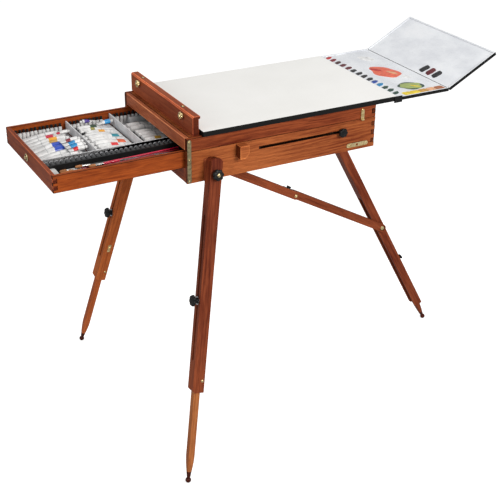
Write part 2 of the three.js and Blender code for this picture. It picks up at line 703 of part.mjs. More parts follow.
// The bolt that runs through the box side's slot, with a plate against its inside.
function slotBolt() {
  const plateX = slotWallInner - GAP - 1;
  const plate = block(plateX, plateX + 1, SLOT_KNOB_Y - 4.5, SLOT_KNOB_Y + 4.5, SLOT.z - 6, SLOT.z + 6);
  const shank = rod('x', [plateX + 0.5, SLOT_KNOB_Y, SLOT.z], BOLT_RADIUS, BOX.wall + 1, 12);
  return join(plate, shank);
}

function slotKnob() {
  const start = BOX.halfWidth + 0.6;
  const knob = starKnob(KNOB_RADIUS.slot, 0.1);
  knob.rotateY(Math.PI / 2);
  return knob.translate(start, SLOT_KNOB_Y, SLOT.z);
}

function trayKnob(x) {
  const knob = brassKnob(10, 12);
  knob.rotateX(Math.PI / 2);
  return knob.translate(x, TRAY.front - GAP, TRAY_KNOB_Z);
}

// A low oval pull: a dished plate with a short button in its middle.
function drawerKnob() {
  const profile = [[0, 0], [9.2, 0], [9.6, 1.2], [8.8, 2.6], [5.4, 2.2], [4.8, 3], [4.8, 6], [3.6, 7], [0, 7]];
  const knob = new THREE.LatheGeometry(profile.map(([r, h]) => new THREE.Vector2(r, h)), 20);
  knob.rotateX(Math.PI);
  knob.scale(0.94, 1, 1.08);
  return knob.translate(-11, DRAWER_Y.front - GAP, (DRAWER.bottom + DRAWER.top) / 2);
}

// ---------------------------------------------------------------- assembly
const splay = Math.atan2(
  FRONT_LEG.foot.x - FRONT_LEG.pivot.x,
  FRONT_LEG.pivot.z - FRONT_LEG.foot.z,
);

SIDES.forEach(([side, sign]) => {
  const both = [
    [`box_side_${side}`, boxSide(), MATERIAL.side],
    [`leg_wedge_${side}`, legWedge(splay), MATERIAL.side],
    [`leg_stop_${side}`, legStop(), MATERIAL.side],
    [`hinge_strap_${side}`, hingeStrap(), MATERIAL.brass],
    [`catch_plate_${side}`, catchPlate(), MATERIAL.brass],
    [`lid_side_${side}`, lidSide(), MATERIAL.side],
    [`latch_${side}`, latch(), MATERIAL.brass],
    [`stay_arm_${side}`, stayArm(), MATERIAL.brass],
    [`slot_bolt_${side}`, slotBolt(), MATERIAL.brass],
    [`slot_knob_${side}`, slotKnob(), MATERIAL.plastic],
    [`drawer_side_${side}`, drawerSide(), MATERIAL.side],
  ];
  both.forEach(([name, geometry, material]) => addPiece(name, mirrored(geometry, sign), material));

  const leg = new THREE.Group();
  const pivot = FRONT_LEG.pivot.clone().multiply(new THREE.Vector3(sign, 1, 1));
  const foot = FRONT_LEG.foot.clone().multiply(new THREE.Vector3(sign, 1, 1));
  legFrame(pivot, foot).decompose(leg.position, leg.quaternion, leg.scale);
  easel.add(leg);
  const reach = pivot.distanceTo(foot);
  addPiece(`front_leg_upper_${side}`, hollowLeg(FRONT_LEG, FRONT_LOWER), MATERIAL.leg, leg);
  const lower = lowerLeg(FRONT_LOWER, reach, FRONT_LEG.knob, FRONT_LEG.slotSide);
  addPiece(`front_leg_lower_${side}`, lower, MATERIAL.lowerLeg, leg);
  const clamp = clampKnob(FRONT_LEG, FRONT_LOWER, KNOB_RADIUS.frontClamp, FRONT_CLAMP_COLLAR);
  addPiece(`front_clamp_knob_${side}`, clamp, MATERIAL.plastic, leg);
  const pivotKnob = starKnob(KNOB_RADIUS.legPivot, FRONT_LEG.width + 7);
  pivotKnob.rotateY(sign * Math.PI / 2);
  pivotKnob.translate(sign * FRONT_LEG.width / 2, 0, 0);
  addPiece(`leg_pivot_knob_${side}`, pivotKnob, MATERIAL.plastic, leg);
});

addPiece('box_back', boxBack(), MATERIAL.front);
addPiece('box_front_rail', boxFrontRail(), MATERIAL.front);
addPiece('box_bottom', boxBottom(), MATERIAL.panel);
addPiece('rear_leg_bracket', rearLegBracket(), MATERIAL.leg);
addPiece('stay_bracket', stayBracket(), MATERIAL.leg);

addPiece('lid_front_rail', lidFrontRail(), MATERIAL.front);
addPiece('lid_back_rail', lidBackRail(), MATERIAL.front);
addPiece('lid_panel', lidPanel(), MATERIAL.panel);
addPiece('mast', mast(), MATERIAL.leg);
addPiece('tray_bar', trayBar(), MATERIAL.leg);
addPiece('tray_knob_left', trayKnob(TRAY_KNOBS[0]), MATERIAL.brass);
addPiece('tray_knob_right', trayKnob(TRAY_KNOBS[1]), MATERIAL.brass);

addPiece('drawer_front', drawerEnd(DRAWER_Y.front), MATERIAL.front);
addPiece('drawer_back', drawerEnd(DRAWER_Y.rear - DRAWER.wall), MATERIAL.front);
addPiece('drawer_bottom', drawerBottom(), MATERIAL.panel);
addPiece('drawer_dividers', drawerDividers(), MATERIAL.divider);
addPiece('drawer_knob', drawerKnob(), MATERIAL.brass);
addPiece('paint_tubes', paintTubes(), MATERIAL.tubes);
addPiece('brushes', brushes(), MATERIAL.front);

addPiece('drawing_board', drawingBoard(), MATERIAL.board);
addPiece('palette_clip', paletteClip(), MATERIAL.plastic);
addPiece('palette_pan', palettePan(), MATERIAL.palette);
addPiece('palette_lid', paletteLid(), MATERIAL.palette);

const rearLeg = new THREE.Group();
legFrame(REAR_LEG.pivot, REAR_LEG.foot).decompose(rearLeg.position, rearLeg.quaternion, rearLeg.scale);
easel.add(rearLeg);
const rearReach = REAR_LEG.pivot.distanceTo(REAR_LEG.foot);
addPiece('rear_leg_upper', hollowLeg(REAR_LEG, REAR_LOWER), MATERIAL.leg, rearLeg);
const rearLower = lowerLeg(REAR_LOWER, rearReach, REAR_LEG.knob, REAR_LEG.slotSide);
addPiece('rear_leg_lower', rearLower, MATERIAL.lowerLeg, rearLeg);
const rearClamp = clampKnob(REAR_LEG, REAR_LOWER, KNOB_RADIUS.rearClamp, KNOB.collar);
addPiece('rear_clamp_knob', rearClamp, MATERIAL.plastic, rearLeg);

addPiece('stay_upper', stayUpper(), MATERIAL.leg);
addPiece('stay_lower', stayLower(), MATERIAL.leg);
addPiece('stay_button', stayButton(), MATERIAL.plastic);
addPiece('stay_bolt', stayLegBolt(), MATERIAL.brass);

// Stand the easel on Z = 0 with the origin under the middle of its bounding box.
easel.updateMatrixWorld(true);
const extent = new THREE.Box3().setFromObject(easel, true);
easel.position.set(
  -(extent.min.x + extent.max.x) / 2,
  -(extent.min.y + extent.max.y) / 2,
  -extent.min.z,
);

export default easel;
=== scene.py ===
"""French box easel, its drawer pulled out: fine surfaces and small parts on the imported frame.

Places written as (x, y, z) in millimetres are in the easel's own drawing frame: X = 0 in the
middle, Y = 0 at the front of the box and Z = 0 at its underside. at() turns them into metres.
"""
import json
import math
import random

import bpy
from mathutils import Matrix, Vector


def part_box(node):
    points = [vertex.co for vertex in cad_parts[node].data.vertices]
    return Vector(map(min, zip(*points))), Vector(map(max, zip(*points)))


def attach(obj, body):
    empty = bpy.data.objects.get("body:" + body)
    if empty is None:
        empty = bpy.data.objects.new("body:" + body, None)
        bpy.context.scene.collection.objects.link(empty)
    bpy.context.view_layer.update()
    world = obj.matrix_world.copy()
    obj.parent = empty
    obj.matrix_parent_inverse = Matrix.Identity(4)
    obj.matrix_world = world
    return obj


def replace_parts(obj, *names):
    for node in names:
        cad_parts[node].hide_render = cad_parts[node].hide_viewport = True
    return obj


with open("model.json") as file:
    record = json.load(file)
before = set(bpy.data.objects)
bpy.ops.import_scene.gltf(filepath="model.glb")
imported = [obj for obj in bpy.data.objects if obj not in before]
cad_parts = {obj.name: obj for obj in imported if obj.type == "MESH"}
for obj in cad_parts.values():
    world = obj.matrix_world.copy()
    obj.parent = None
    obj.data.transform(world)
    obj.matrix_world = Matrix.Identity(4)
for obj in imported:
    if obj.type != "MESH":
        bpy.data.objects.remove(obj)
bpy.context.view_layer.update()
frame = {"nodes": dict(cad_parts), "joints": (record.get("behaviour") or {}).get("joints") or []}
NODES = frame["nodes"]
JOINTS = {joint["name"]: joint for joint in frame["joints"]}
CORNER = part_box("box_side_right")[0]
MM = 0.001
SIDES = ("right", "left")
X = Vector((1, 0, 0))
Y = Vector((0, 1, 0))
Z = Vector((0, 0, 1))


def at(x, y, z):
    """A point of the drawing frame, in metres in the shared frame."""
    return Vector((x * MM, CORNER.y + y * MM, CORNER.z + z * MM))


def unit(x, y, z):
    return Vector((x, y, z)).normalized()


def add_object(name, data):
    thing = bpy.data.objects.new(name, data)
    bpy.context.scene.collection.objects.link(thing)
    return thing


def set_inputs(node, **values):
    """Sets a node's inputs by name. An underscore stands for a space."""
    for name, value in values.items():
        node.inputs[name.replace("_", " ")].default_value = value


# ---------------------------------------------------------------- camera and studio
VIEW_FROM = at(2433.9, -1055.9, 1117.0)
VIEW_ALONG = unit(-0.77450, 0.42807, -0.46572)
VIEW_ROLL = math.radians(0.776)
VIEW_LENS = 78.06


def make_camera():
    data = bpy.data.cameras.new("camera")
    data.lens = VIEW_LENS
    data.sensor_width = 36
    data.clip_end = 50
    camera = add_object("camera", data)
    across = VIEW_ALONG.cross(Z).normalized()
    up = across.cross(VIEW_ALONG)
    turned = across * math.cos(VIEW_ROLL) + up * math.sin(VIEW_ROLL)
    raised = up * math.cos(VIEW_ROLL) - across * math.sin(VIEW_ROLL)
    axes = Matrix((turned, raised, -VIEW_ALONG)).transposed().to_4x4()
    camera.matrix_world = Matrix.Translation(VIEW_FROM) @ axes
    bpy.context.scene.camera = camera


# place, diameter, power and colour of each light
LIGHTS = {
    "key": ((3.2, 0.5, 2.4), 1.5, 92, (1, 0.98, 0.95)),
    "front": ((0.6, -3.4, 1.8), 2.2, 26, (1, 1, 1)),
    "top": ((-0.6, 0.4, 3.6), 2.4, 22, (1, 1, 1)),
}
LIGHT_AIM = Vector((0, 0, 0.6))
SKY_SEEN = 1.0
SKY_LIGHT = 0.45
FLOOR_REACH = 14
FLOOR_GAP = 0.5 * MM
FLOOR_SEEN = 0.80
FLOOR_GLOW = 0.62
FLOOR_BOUNCE = 0.55
WHITE = (1, 1, 1, 1)


def area_light(name, place, size, power, colour):
    data = bpy.data.lights.new(name, "AREA")
    data.shape = "DISK"
    data.size = size
    data.energy = power
    data.color = colour
    light = add_object(name, data)
    light.location = place
    light.rotation_euler = (LIGHT_AIM - Vector(place)).to_track_quat("-Z", "Y").to_euler()


def light_path_mix(tree, lit, seen, target):
    """The camera sees one shader, and all other rays see the other."""
    rays = tree.nodes.new("ShaderNodeLightPath")
    mix = tree.nodes.new("ShaderNodeMixShader")
    tree.links.new(rays.outputs["Is Camera Ray"], mix.inputs["Fac"])
    tree.links.new(lit.outputs[0], mix.inputs[1])
    tree.links.new(seen.outputs[0], mix.inputs[2])
    tree.links.new(mix.outputs[0], target)


def make_floor():
    mesh = bpy.data.meshes.new("floor")
    corners = [(i * FLOOR_REACH, j * FLOOR_REACH, 0) for i, j in ((-1, -1), (1, -1), (1, 1), (-1, 1))]
    mesh.from_pydata(corners, [], [(0, 1, 2, 3)])
    floor = add_object("floor", mesh)
    floor.location.z = -FLOOR_GAP
    material = bpy.data.materials.new("floor")
    material.use_nodes = True
    tree = material.node_tree
    seen = tree.nodes["Principled BSDF"]
    set_inputs(seen, Base_Color=(FLOOR_SEEN, FLOOR_SEEN, FLOOR_SEEN, 1), Roughness=0.9)
    set_inputs(seen, Specular_IOR_Level=0.1, Emission_Color=WHITE, Emission_Strength=FLOOR_GLOW)
    lit = tree.nodes.new("ShaderNodeBsdfDiffuse")
    set_inputs(lit, Color=(FLOOR_BOUNCE, FLOOR_BOUNCE, FLOOR_BOUNCE, 1))
    light_path_mix(tree, lit, seen, tree.nodes["Material Output"].inputs["Surface"])
    mesh.materials.append(material)


def make_studio():
    scene = bpy.context.scene
    scene.view_settings.view_transform = "Standard"
    world = bpy.data.worlds.new("studio")
    scene.world = world
    world.use_nodes = True
    tree = world.node_tree
    sky = tree.nodes["Background"]
    set_inputs(sky, Color=WHITE, Strength=SKY_LIGHT)
    seen = tree.nodes.new("ShaderNodeBackground")
    set_inputs(seen, Color=WHITE, Strength=SKY_SEEN)
    light_path_mix(tree, sky, seen, tree.nodes["World Output"].inputs["Surface"])

    for name, (place, size, power, colour) in LIGHTS.items():
        area_light(name, place, size, power, colour)
    make_floor()


# ---------------------------------------------------------------- shader nodes
class Surface:
    """A Principled material whose nodes are added by short calls."""

    def __init__(self, name, roughness=0.5, metallic=0.0, specular=0.5, coat=0.0):
        self.material = bpy.data.materials.new(name)
        self.material.use_nodes = True
        self.tree = self.material.node_tree
        self.shader = self.tree.nodes["Principled BSDF"]
        set_inputs(self.shader, Roughness=roughness, Metallic=metallic, Specular_IOR_Level=specular)
        set_inputs(self.shader, Coat_Weight=coat, Coat_Roughness=0.25)

    def put(self, socket, value):
        if isinstance(value, bpy.types.NodeSocket):
            self.tree.links.new(value, socket)
        else:
            socket.default_value = value

    def math(self, operation, first, second=0.0, clamp=False):
        node = self.tree.nodes.new("ShaderNodeMath")
        node.operation = operation
        node.use_clamp = clamp
        self.put(node.inputs[0], first)
        self.put(node.inputs[1], second)
        return node.outputs[0]

    def vector(self, operation, first, second=(0, 0, 0)):
        node = self.tree.nodes.new("ShaderNodeVectorMath")
        node.operation = operation
        self.put(node.inputs[0], first)
        if operation not in ("LENGTH", "ABSOLUTE"):
            self.put(node.inputs[1], second)
        return node.outputs["Value" if operation in ("DOT_PRODUCT", "LENGTH") else "Vector"]

    def combine(self, x, y, z):
        node = self.tree.nodes.new("ShaderNodeCombineXYZ")
        for socket, value in zip(node.inputs, (x, y, z)):
            self.put(socket, value)
        return node.outputs[0]

    def place(self):
        return self.tree.nodes.new("ShaderNodeTexCoord").outputs["Object"]

    def facing(self):
        return self.tree.nodes.new("ShaderNodeTexCoord").outputs["Normal"]

    def noise(self, place, scale, detail=3.0, roughness=0.5):
        node = self.tree.nodes.new("ShaderNodeTexNoise")
        set_inputs(node, Scale=scale, Detail=detail, Roughness=roughness)
        self.put(node.inputs["Vector"], place)
        return node.outputs["Fac"]

    def ramp(self, value, stops):
        node = self.tree.nodes.new("ShaderNodeValToRGB")
        marks = node.color_ramp.elements
        while len(marks) < len(stops):
            marks.new(0.5)
        for mark, (position, colour) in zip(marks, stops):
            mark.position = position
            mark.color = (*colour, 1) if len(colour) == 3 else colour
        self.put(node.inputs[0], value)
        return node.outputs["Color"]

    def mix(self, factor, first, second, blend="MIX"):
        node = self.tree.nodes.new("ShaderNodeMix")
        node.data_type = "RGBA"
        node.blend_type = blend
        self.put(node.inputs["Factor"], factor)
        for socket, value in ((node.inputs["A"], first), (node.inputs["B"], second)):
            if not isinstance(value, bpy.types.NodeSocket) and len(value) == 3:
                value = (*value, 1)
            self.put(socket, value)
        return node.outputs["Result"]

    def colour(self, value):
        self.put(self.shader.inputs["Base Color"], value)

    def rough(self, value, low, high):
        span = self.math("MULTIPLY", value, high - low)
        self.put(self.shader.inputs["Roughness"], self.math("ADD", span, low))

    def bump(self, height, strength, distance):
        node = self.tree.nodes.new("ShaderNodeBump")
        set_inputs(node, Strength=strength, Distance=distance)
        self.put(node.inputs["Height"], height)
        self.put(self.shader.inputs["Normal"], node.outputs[0])


def grey(value):
    return (value, value, value)


# ---------------------------------------------------------------- wood
WOODS = {
    "side": ((0.51, 0.150, 0.044), (0.15, 0.025, 0.008)),
    "lid": ((0.39, 0.092, 0.029), (0.11, 0.015, 0.006)),
    "drawer": ((0.38, 0.080, 0.015), (0.12, 0.016, 0.004)),
    "front": ((0.36, 0.092, 0.036), (0.14, 0.022, 0.010)),
    "leg": ((0.32, 0.078, 0.029), (0.11, 0.018, 0.008)),
    "ruddy": ((0.50, 0.125, 0.036), (0.23, 0.045, 0.013)),
    # the lid's front rail, brightened against the board's shade on it and for its sheen: partly painted
    # light
    "rail": ((0.50, 0.150, 0.064), (0.20, 0.040, 0.018)),
    # a much brighter copy of the leg wood, for the left front leg that lies in the box's shade: painted
    # light
    "orange": ((0.58, 0.155, 0.040), (0.22, 0.038, 0.010)),
    "pale": ((0.47, 0.170, 0.056), (0.24, 0.062, 0.018)),
    "dark": ((0.09, 0.016, 0.008), (0.03, 0.006, 0.003)),
}
VARNISH_IOR = 1.2
# scale along and across the grain, detail and roughness of each noise
GRAIN = {
    "figure": ((3.4, 24, 24), 3, 0.6),
    "fibre": ((11, 330, 330), 5, 0.65),
    "cloud": ((2.2, 9, 9), 2, 0.5),
    "pore": ((38, 1300, 1300), 2, 0.5),
}
PITH = (0, 0.05, 0.02)
PITH_STRETCH = (0.05, 1, 1)
WAVINESS = 0.075
RING_DENSITY = 520
# what each pattern adds to the blend of dark and pale wood, and what is taken off their sum
SHARES = {"ring": 0.11, "fibre": 0.66, "cloud": 0.80}
BLEND_OFFSET = 0.32
END_GRAIN = (0.36, 0.28, 0.28)
# near black for the walls of the box sides' slots: painted shade
SLOT_SHADE = (0.016, 0.006, 0.004)
# how much brighter than the face an edge's bevel is, and its width in millimetres. This is painted
# light: a factor above 1 paints a highlight on the edge, strongest on "rubbed" and "bright" edges, and
# the factor of "dark" edges paints shade into the seams between parts
EDGE_LIGHT_AND_SHADE = {"plain": (1.3, 0.8), "dark": (0.15, 1.3), "rubbed": (2.3, 1.2), "bright": (2.6, 1.6)}


# the slot in each box side: its ends, its middle height, and half of its height
SLOT = {"front": 207, "rear": 457, "z": 60, "half": 3.8}


def paint_slot_shade(s, place, colour):
    """Painted shade on the walls of the slot in a box side: a near black colour inside the slot's
    outline.
    """
    middle = at(0, (SLOT["front"] + SLOT["rear"]) / 2, SLOT["z"])
    half_length = ((SLOT["rear"] - SLOT["front"]) / 2 + SLOT["half"]) * MM
    off = s.vector("ABSOLUTE", s.vector("SUBTRACT", place, tuple(middle)))
    along = s.math("LESS_THAN", s.vector("DOT_PRODUCT", off, tuple(Y)), half_length)
    across = s.math("LESS_THAN", s.vector("DOT_PRODUCT", off, tuple(Z)), SLOT["half"] * MM)
    return s.mix(s.math("MULTIPLY", along, across), colour, SLOT_SHADE)


def wood(name, tone, along, seed, painted_light_factor=1.0, polish=0.02, slotted=False):
    """Stained hardwood with its grain along one direction, end grain across it, fine pores
    and a satin varnish. The light factor scales its colours for the bevel of an edge: above 1 it paints
    a highlight there, below 1 it paints shade into a seam."""
    chance = random.Random(seed)
    along = Vector(along).normalized()
    helper = Z if abs(along.z) < 0.8 else Y
    across = along.cross(helper).normalized()
    through = along.cross(across)
    shift = Vector([chance.uniform(-3, 3) for _ in range(3)])
    warmth = chance.uniform(0.90, 1.10)
    pale, dark = WOODS[tone]
    pale = [min(channel * warmth * painted_light_factor, 1) for channel in pale]
    dark = [min(channel * warmth * painted_light_factor, 1) for channel in dark]

    s = Surface(name, specular=0.3, coat=polish)
    set_inputs(s.shader, IOR=VARNISH_IOR)
    place = s.place()
    axes = [s.vector("DOT_PRODUCT", place, tuple(axis)) for axis in (along, across, through)]
    local = s.vector("ADD", s.combine(*axes), tuple(shift))
    figure, fibre, cloud, pore = [
        s.noise(s.vector("MULTIPLY", local, scale), 1, detail, rough)
        for scale, detail, rough in GRAIN.values()
    ]

    off_pith = s.vector("MULTIPLY", s.vector("ADD", local, PITH), PITH_STRETCH)
    distance = s.vector("LENGTH", off_pith)
    waviness = s.math("MULTIPLY", figure, WAVINESS)
    rings = s.math("MULTIPLY", s.math("ADD", distance, waviness), RING_DENSITY)
    ring = s.math("MULTIPLY", s.math("ADD", s.math("SINE", rings), 1), 0.5)

    parts = [s.math("MULTIPLY", part, SHARES[name]) for part, name in zip((ring, fibre, cloud), SHARES)]
    blend = s.math("ADD", s.math("ADD", parts[0], parts[1]), parts[2])
    blend = s.math("SUBTRACT", blend, BLEND_OFFSET, clamp=True)
    middle = [p * 0.55 + d * 0.45 for p, d in zip(pale, dark)]
    colour = s.ramp(blend, [(0.24, dark), (0.48, middle), (0.71, pale)])
    speck = s.ramp(pore, [(0.34, grey(0.45)), (0.43, grey(1.0))])
    colour = s.mix(0.8, colour, speck, "MULTIPLY")
    end = s.math("ABSOLUTE", s.vector("DOT_PRODUCT", s.facing(), tuple(along)))
    ends = s.ramp(end, [(0.80, grey(1.0)), (0.93, END_GRAIN)])
    colour = s.mix(1.0, colour, ends, "MULTIPLY")
    s.colour(paint_slot_shade(s, place, colour) if slotted else colour)
    s.rough(fibre, 0.34, 0.56)
    s.bump(s.math("ADD", fibre, s.math("MULTIPLY", pore, 0.5)), 0.20, 0.0004)
    return s.material


# ---------------------------------------------------------------- other surfaces
def brass():
    s = Surface("brass", metallic=1.0)
    place = s.place()
    tarnish = s.noise(place, 160, 4, 0.6)
    stain = s.noise(place, 35, 3, 0.55)
    colour = s.ramp(tarnish, [(0.30, (0.50, 0.36, 0.14)), (0.62, (0.86, 0.70, 0.38))])
    s.colour(s.mix(s.ramp(stain, [(0.45, grey(0)), (0.75, grey(0.55))]), colour, (0.60, 0.52, 0.36)))
    s.rough(tarnish, 0.16, 0.42)
    s.bump(s.noise(place, 900, 2), 0.08, 0.0003)
    return s.material


def plated(name, pale, dark):
    """Plated or stamped metal."""
    s = Surface(name, metallic=1.0)
    place = s.place()
    wear = s.noise(place, 120, 4, 0.6)
    s.colour(s.ramp(wear, [(0.3, dark), (0.65, pale)]))
    s.rough(wear, 0.18, 0.40)
    s.bump(s.noise(place, 700, 2), 0.06, 0.0003)
    return s.material


def plastic(name, colour, rough=(0.32, 0.5), grain=1400, strength=0.25, shine=0.5):
    """Moulded plastic with a fine grain and slightly rubbed, uneven colour."""
    s = Surface(name, specular=shine)
    place = s.place()
    patch = s.noise(place, 60, 3, 0.5)
    darker = [channel * 0.72 for channel in colour]
    s.colour(s.ramp(patch, [(0.3, darker), (0.7, colour)]))
    s.rough(patch, *rough)
    s.bump(s.noise(place, grain, 2), strength, 0.0002)
    return s.material


def paint(name, colour, spread, rough, wet):
    """Dried paint: brush streaks, thin and thick places."""
    s = Surface(name, specular=0.3, coat=wet)
    place = s.place()
    streak = s.noise(s.vector("MULTIPLY", place, (160, 60, 160)), 1, 4, 0.6)
    low = [channel * (1 - spread) for channel in colour]
    high = [min(channel * (1 + spread * 0.5) + 0.02, 1) for channel in colour]
    s.colour(s.ramp(streak, [(0.3, low), (0.7, high)]))
    s.rough(streak, *rough)
    s.bump(streak, 0.5, 0.0006)
    return s.material


BLACK_PAINT = [(0.3, grey(0.004)), (0.7, grey(0.008))]
OUTER_EDGE = 0.4 * MM


def board_surface():
    """White primed face, black painted edges and underside."""
    s = Surface("board_surface", specular=0.15)
    place = s.place()
    tooth = s.noise(place, 700, 3, 0.6)
    cloud = s.noise(place, 5, 3, 0.5)
    white = s.ramp(cloud, [(0.3, (0.84, 0.835, 0.81)), (0.7, (0.89, 0.885, 0.865))])
    white = s.mix(0.25, white, s.ramp(tooth, [(0.35, grey(0.90)), (0.6, grey(1.0))]), "MULTIPLY")
    black = s.ramp(cloud, BLACK_PAINT)
    up = s.vector("DOT_PRODUCT", s.facing(), (0, 0, 1))
    top = s.ramp(up, [(0.93, grey(0)), (0.97, grey(1))])
    s.colour(s.mix(top, black, white))
    s.rough(tooth, 0.45, 0.65)
    s.bump(tooth, 0.12, 0.0003)
    return s.material


def middle_and_half(values):
    """The middle of a set of numbers, and half of the span that it covers."""
    values = list(values)
    return (max(values) + min(values)) / 2, (max(values) - min(values)) / 2


def palette_surface(node, up):
    """White enamelled inside, with black outer faces. up is the inside face's direction."""
    s = Surface(node + "_surface", specular=0.2)
    place = s.place()
    smear = s.noise(s.vector("MULTIPLY", place, (9, 14, 9)), 1, 4, 0.6)
    grain = s.noise(place, 260, 3, 0.5)
    enamel = [(0.32, (0.66, 0.68, 0.72)), (0.55, (0.79, 0.81, 0.84)), (0.75, (0.85, 0.86, 0.88))]
    white = s.ramp(smear, enamel)
    black = s.ramp(grain, BLACK_PAINT)
    lift = s.vector("DOT_PRODUCT", s.facing(), tuple(up))
    outer = s.math("LESS_THAN", lift, -0.5)
    for way in (X, X.cross(up)):
        middle, half = middle_and_half(vertex.co.dot(way) for vertex in NODES[node].data.vertices)
        off = s.math("SUBTRACT", s.vector("DOT_PRODUCT", place, tuple(way)), middle)
        edge = s.math("GREATER_THAN", s.math("ABSOLUTE", off), half - OUTER_EDGE)
        outer = s.math("MAXIMUM", outer, edge)
    outer = s.math("MULTIPLY", outer, s.math("LESS_THAN", lift, 0.5))
    s.colour(s.mix(outer, white, black))
    s.rough(grain, 0.22, 0.36)
    s.bump(grain, 0.05, 0.0003)
    return s.material


# ---------------------------------------------------------------- modifiers
WELD_GAP = 0.05 * MM
FLAT_ANGLE = math.radians(0.6)
BEVEL_ANGLE = math.radians(40)
SMOOTH_ANGLE = math.radians(35)


def smooth_group(limit):
    """A modifier group that shades smooth, but keeps edges sharper than the limit."""
    group = bpy.data.node_groups.new("smooth_by_angle", "GeometryNodeTree")
    for flow in ("INPUT", "OUTPUT"):
        group.interface.new_socket("Geometry", in_out=flow, socket_type="NodeSocketGeometry")
    nodes = group.nodes
    start = nodes.new("NodeGroupInput")
    finish = nodes.new("NodeGroupOutput")
    faces = nodes.new("GeometryNodeSetShadeSmooth")
    edges = nodes.new("GeometryNodeSetShadeSmooth")
    edges.domain = "EDGE"
    edges.inputs["Shade Smooth"].default_value = False
    angle = nodes.new("GeometryNodeInputMeshEdgeAngle")
    sharp = nodes.new("ShaderNodeMath")
    sharp.operation = "GREATER_THAN"
    sharp.inputs[1].default_value = limit
    group.links.new(start.outputs[0], faces.inputs["Geometry"])
    group.links.new(faces.outputs[0], edges.inputs["Geometry"])
    group.links.new(angle.outputs["Unsigned Angle"], sharp.inputs[0])
    group.links.new(sharp.outputs[0], edges.inputs["Selection"])
    group.links.new(edges.outputs[0], finish.inputs[0])
    return group


SMOOTH = smooth_group(SMOOTH_ANGLE)


def soften(piece, width, painted_edge_slot):
    """Rounds a piece's hard edges, so that they catch the light, and shades round parts smooth. The
    bevel faces take the material in the given slot, whose colour paints a highlight on the edge, and on
    dark edges shade.
    """
    weld = piece.modifiers.new("weld", "WELD")
    weld.merge_threshold = WELD_GAP
    flat = piece.modifiers.new("flat", "DECIMATE")
    flat.decimate_type = "DISSOLVE"
    flat.angle_limit = FLAT_ANGLE
    bevel = piece.modifiers.new("bevel", "BEVEL")
    bevel.width = width
    bevel.segments = 2
    bevel.limit_method = "ANGLE"
    bevel.angle_limit = BEVEL_ANGLE
    # the edge material paints a highlight on the bevel, and painted shade on dark edges
    bevel.material = painted_edge_slot
    shade(piece)


def shade(piece):
    smooth = piece.modifiers.new("smooth", "NODES")
    smooth.node_group = SMOOTH
    weighted = piece.modifiers.new("normals", "WEIGHTED_NORMAL")
    weighted.keep_sharp = True


def dress(node, materials, bevel, painted_edge_slot=-1):
    """Gives a CAD node its materials and rounds its edges."""
    piece = NODES[node]
    piece.data.materials.clear()
    for material in materials:
        piece.data.materials.append(material)
    soften(piece, bevel, painted_edge_slot)


# ---------------------------------------------------------------- mesh making
class Shape:
    """Points and faces gathered for one piece, with a material number for each face."""

    def __init__(self):
        self.points = []
        self.faces = []
        self.numbers = []

    def loft(self, rings, number=0):
        """Joins rings of equally many points, and closes the ends. Faces look outwards when the
        rings turn anticlockwise seen against the way they go on."""
        first = len(self.points)
        count = len(rings[0])
        for ring in rings:
            self.points.extend(Vector(point) for point in ring)
        for step in range(len(rings) - 1):
            given = number[step] if isinstance(number, (list, tuple)) else number
            low = first + step * count
            for k in range(count):
                after = (k + 1) % count
                self.faces.append((low + k, low + after, low + count + after, low + count + k))
                self.numbers.append(given)
        ends = number if isinstance(number, (list, tuple)) else [number]
        last = first + (len(rings) - 1) * count
        self.faces.append(tuple(first + k for k in reversed(range(count))))
        self.faces.append(tuple(last + k for k in range(count)))
        self.numbers += [ends[0], ends[-1]]

    def make(self, name, body, slot, materials):
        mesh = bpy.data.meshes.new(name)
        mesh.from_pydata([tuple(point) for point in self.points], [], self.faces)
        for material in materials:
            mesh.materials.append(material)
        mesh.polygons.foreach_set("material_index", self.numbers)
        mesh.validate()
        piece = add_object(name, mesh)
        shade(piece)
        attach(piece, body)
        return piece


def frame_on(axis):
    """Two directions square to an axis, so that u, v and the axis are right-handed."""
    axis = Vector(axis).normalized()
    helper = Z if abs(axis.z) < 0.9 else X
    u = helper.cross(axis).normalized()
    return u, axis.cross(u), axis


def circle(centre, axis, radius, steps):
    """radius is a length, or a function of the angle that gives one."""
    u, v, _ = frame_on(axis)
    points = []
    for k in range(steps):
        angle = 2 * math.pi * k / steps
        reach = radius(angle) if callable(radius) else radius
        points.append(Vector(centre) + (u * math.cos(angle) + v * math.sin(angle)) * reach)
    return points


def turn(shape, start, axis, profile, number=0, steps=32):
    """A turned part. profile lists (height along the axis, radius), from its base to its top."""
    axis = Vector(axis).normalized()
    rings = [circle(Vector(start) + axis * h, axis, max(r, 1e-5), steps) for h, r in profile]
    shape.loft(rings, number)


def bar(shape, centre, u, v, w, size, number=0):
    """A block of the given size along three directions, u x v = w."""
    a, b, c = (Vector(d).normalized() * s / 2 for d, s in zip((u, v, w), size))
    centre = Vector(centre)
    rings = [[centre + c * h + a * i + b * j for i, j in ((-1, -1), (1, -1), (1, 1), (-1, 1))]
             for h in (-1, 1)]
    shape.loft(rings, number)


def mm_turn(shape, start, axis, profile, number=0, steps=24):
    """A turned part with its profile in millimetres."""
    turn(shape, start, axis, [(h * MM, r * MM) for h, r in profile], number, steps)


def mm_bands(shape, start, axis, rows, steps):
    """A turned part in bands. rows lists (height, radius, material of the band that starts
    there), in millimetres."""
    rings = [circle(start + axis * h * MM, axis, r * MM, steps) for h, r, _ in rows]
    shape.loft(rings, [number for *_, number in rows[:-1]])


def mm_block(shape, middle, size, number=0):
    """A block square to the drawing frame, in millimetres."""
    bar(shape, at(*middle), X, Y, Z, [length * MM for length in size], number)


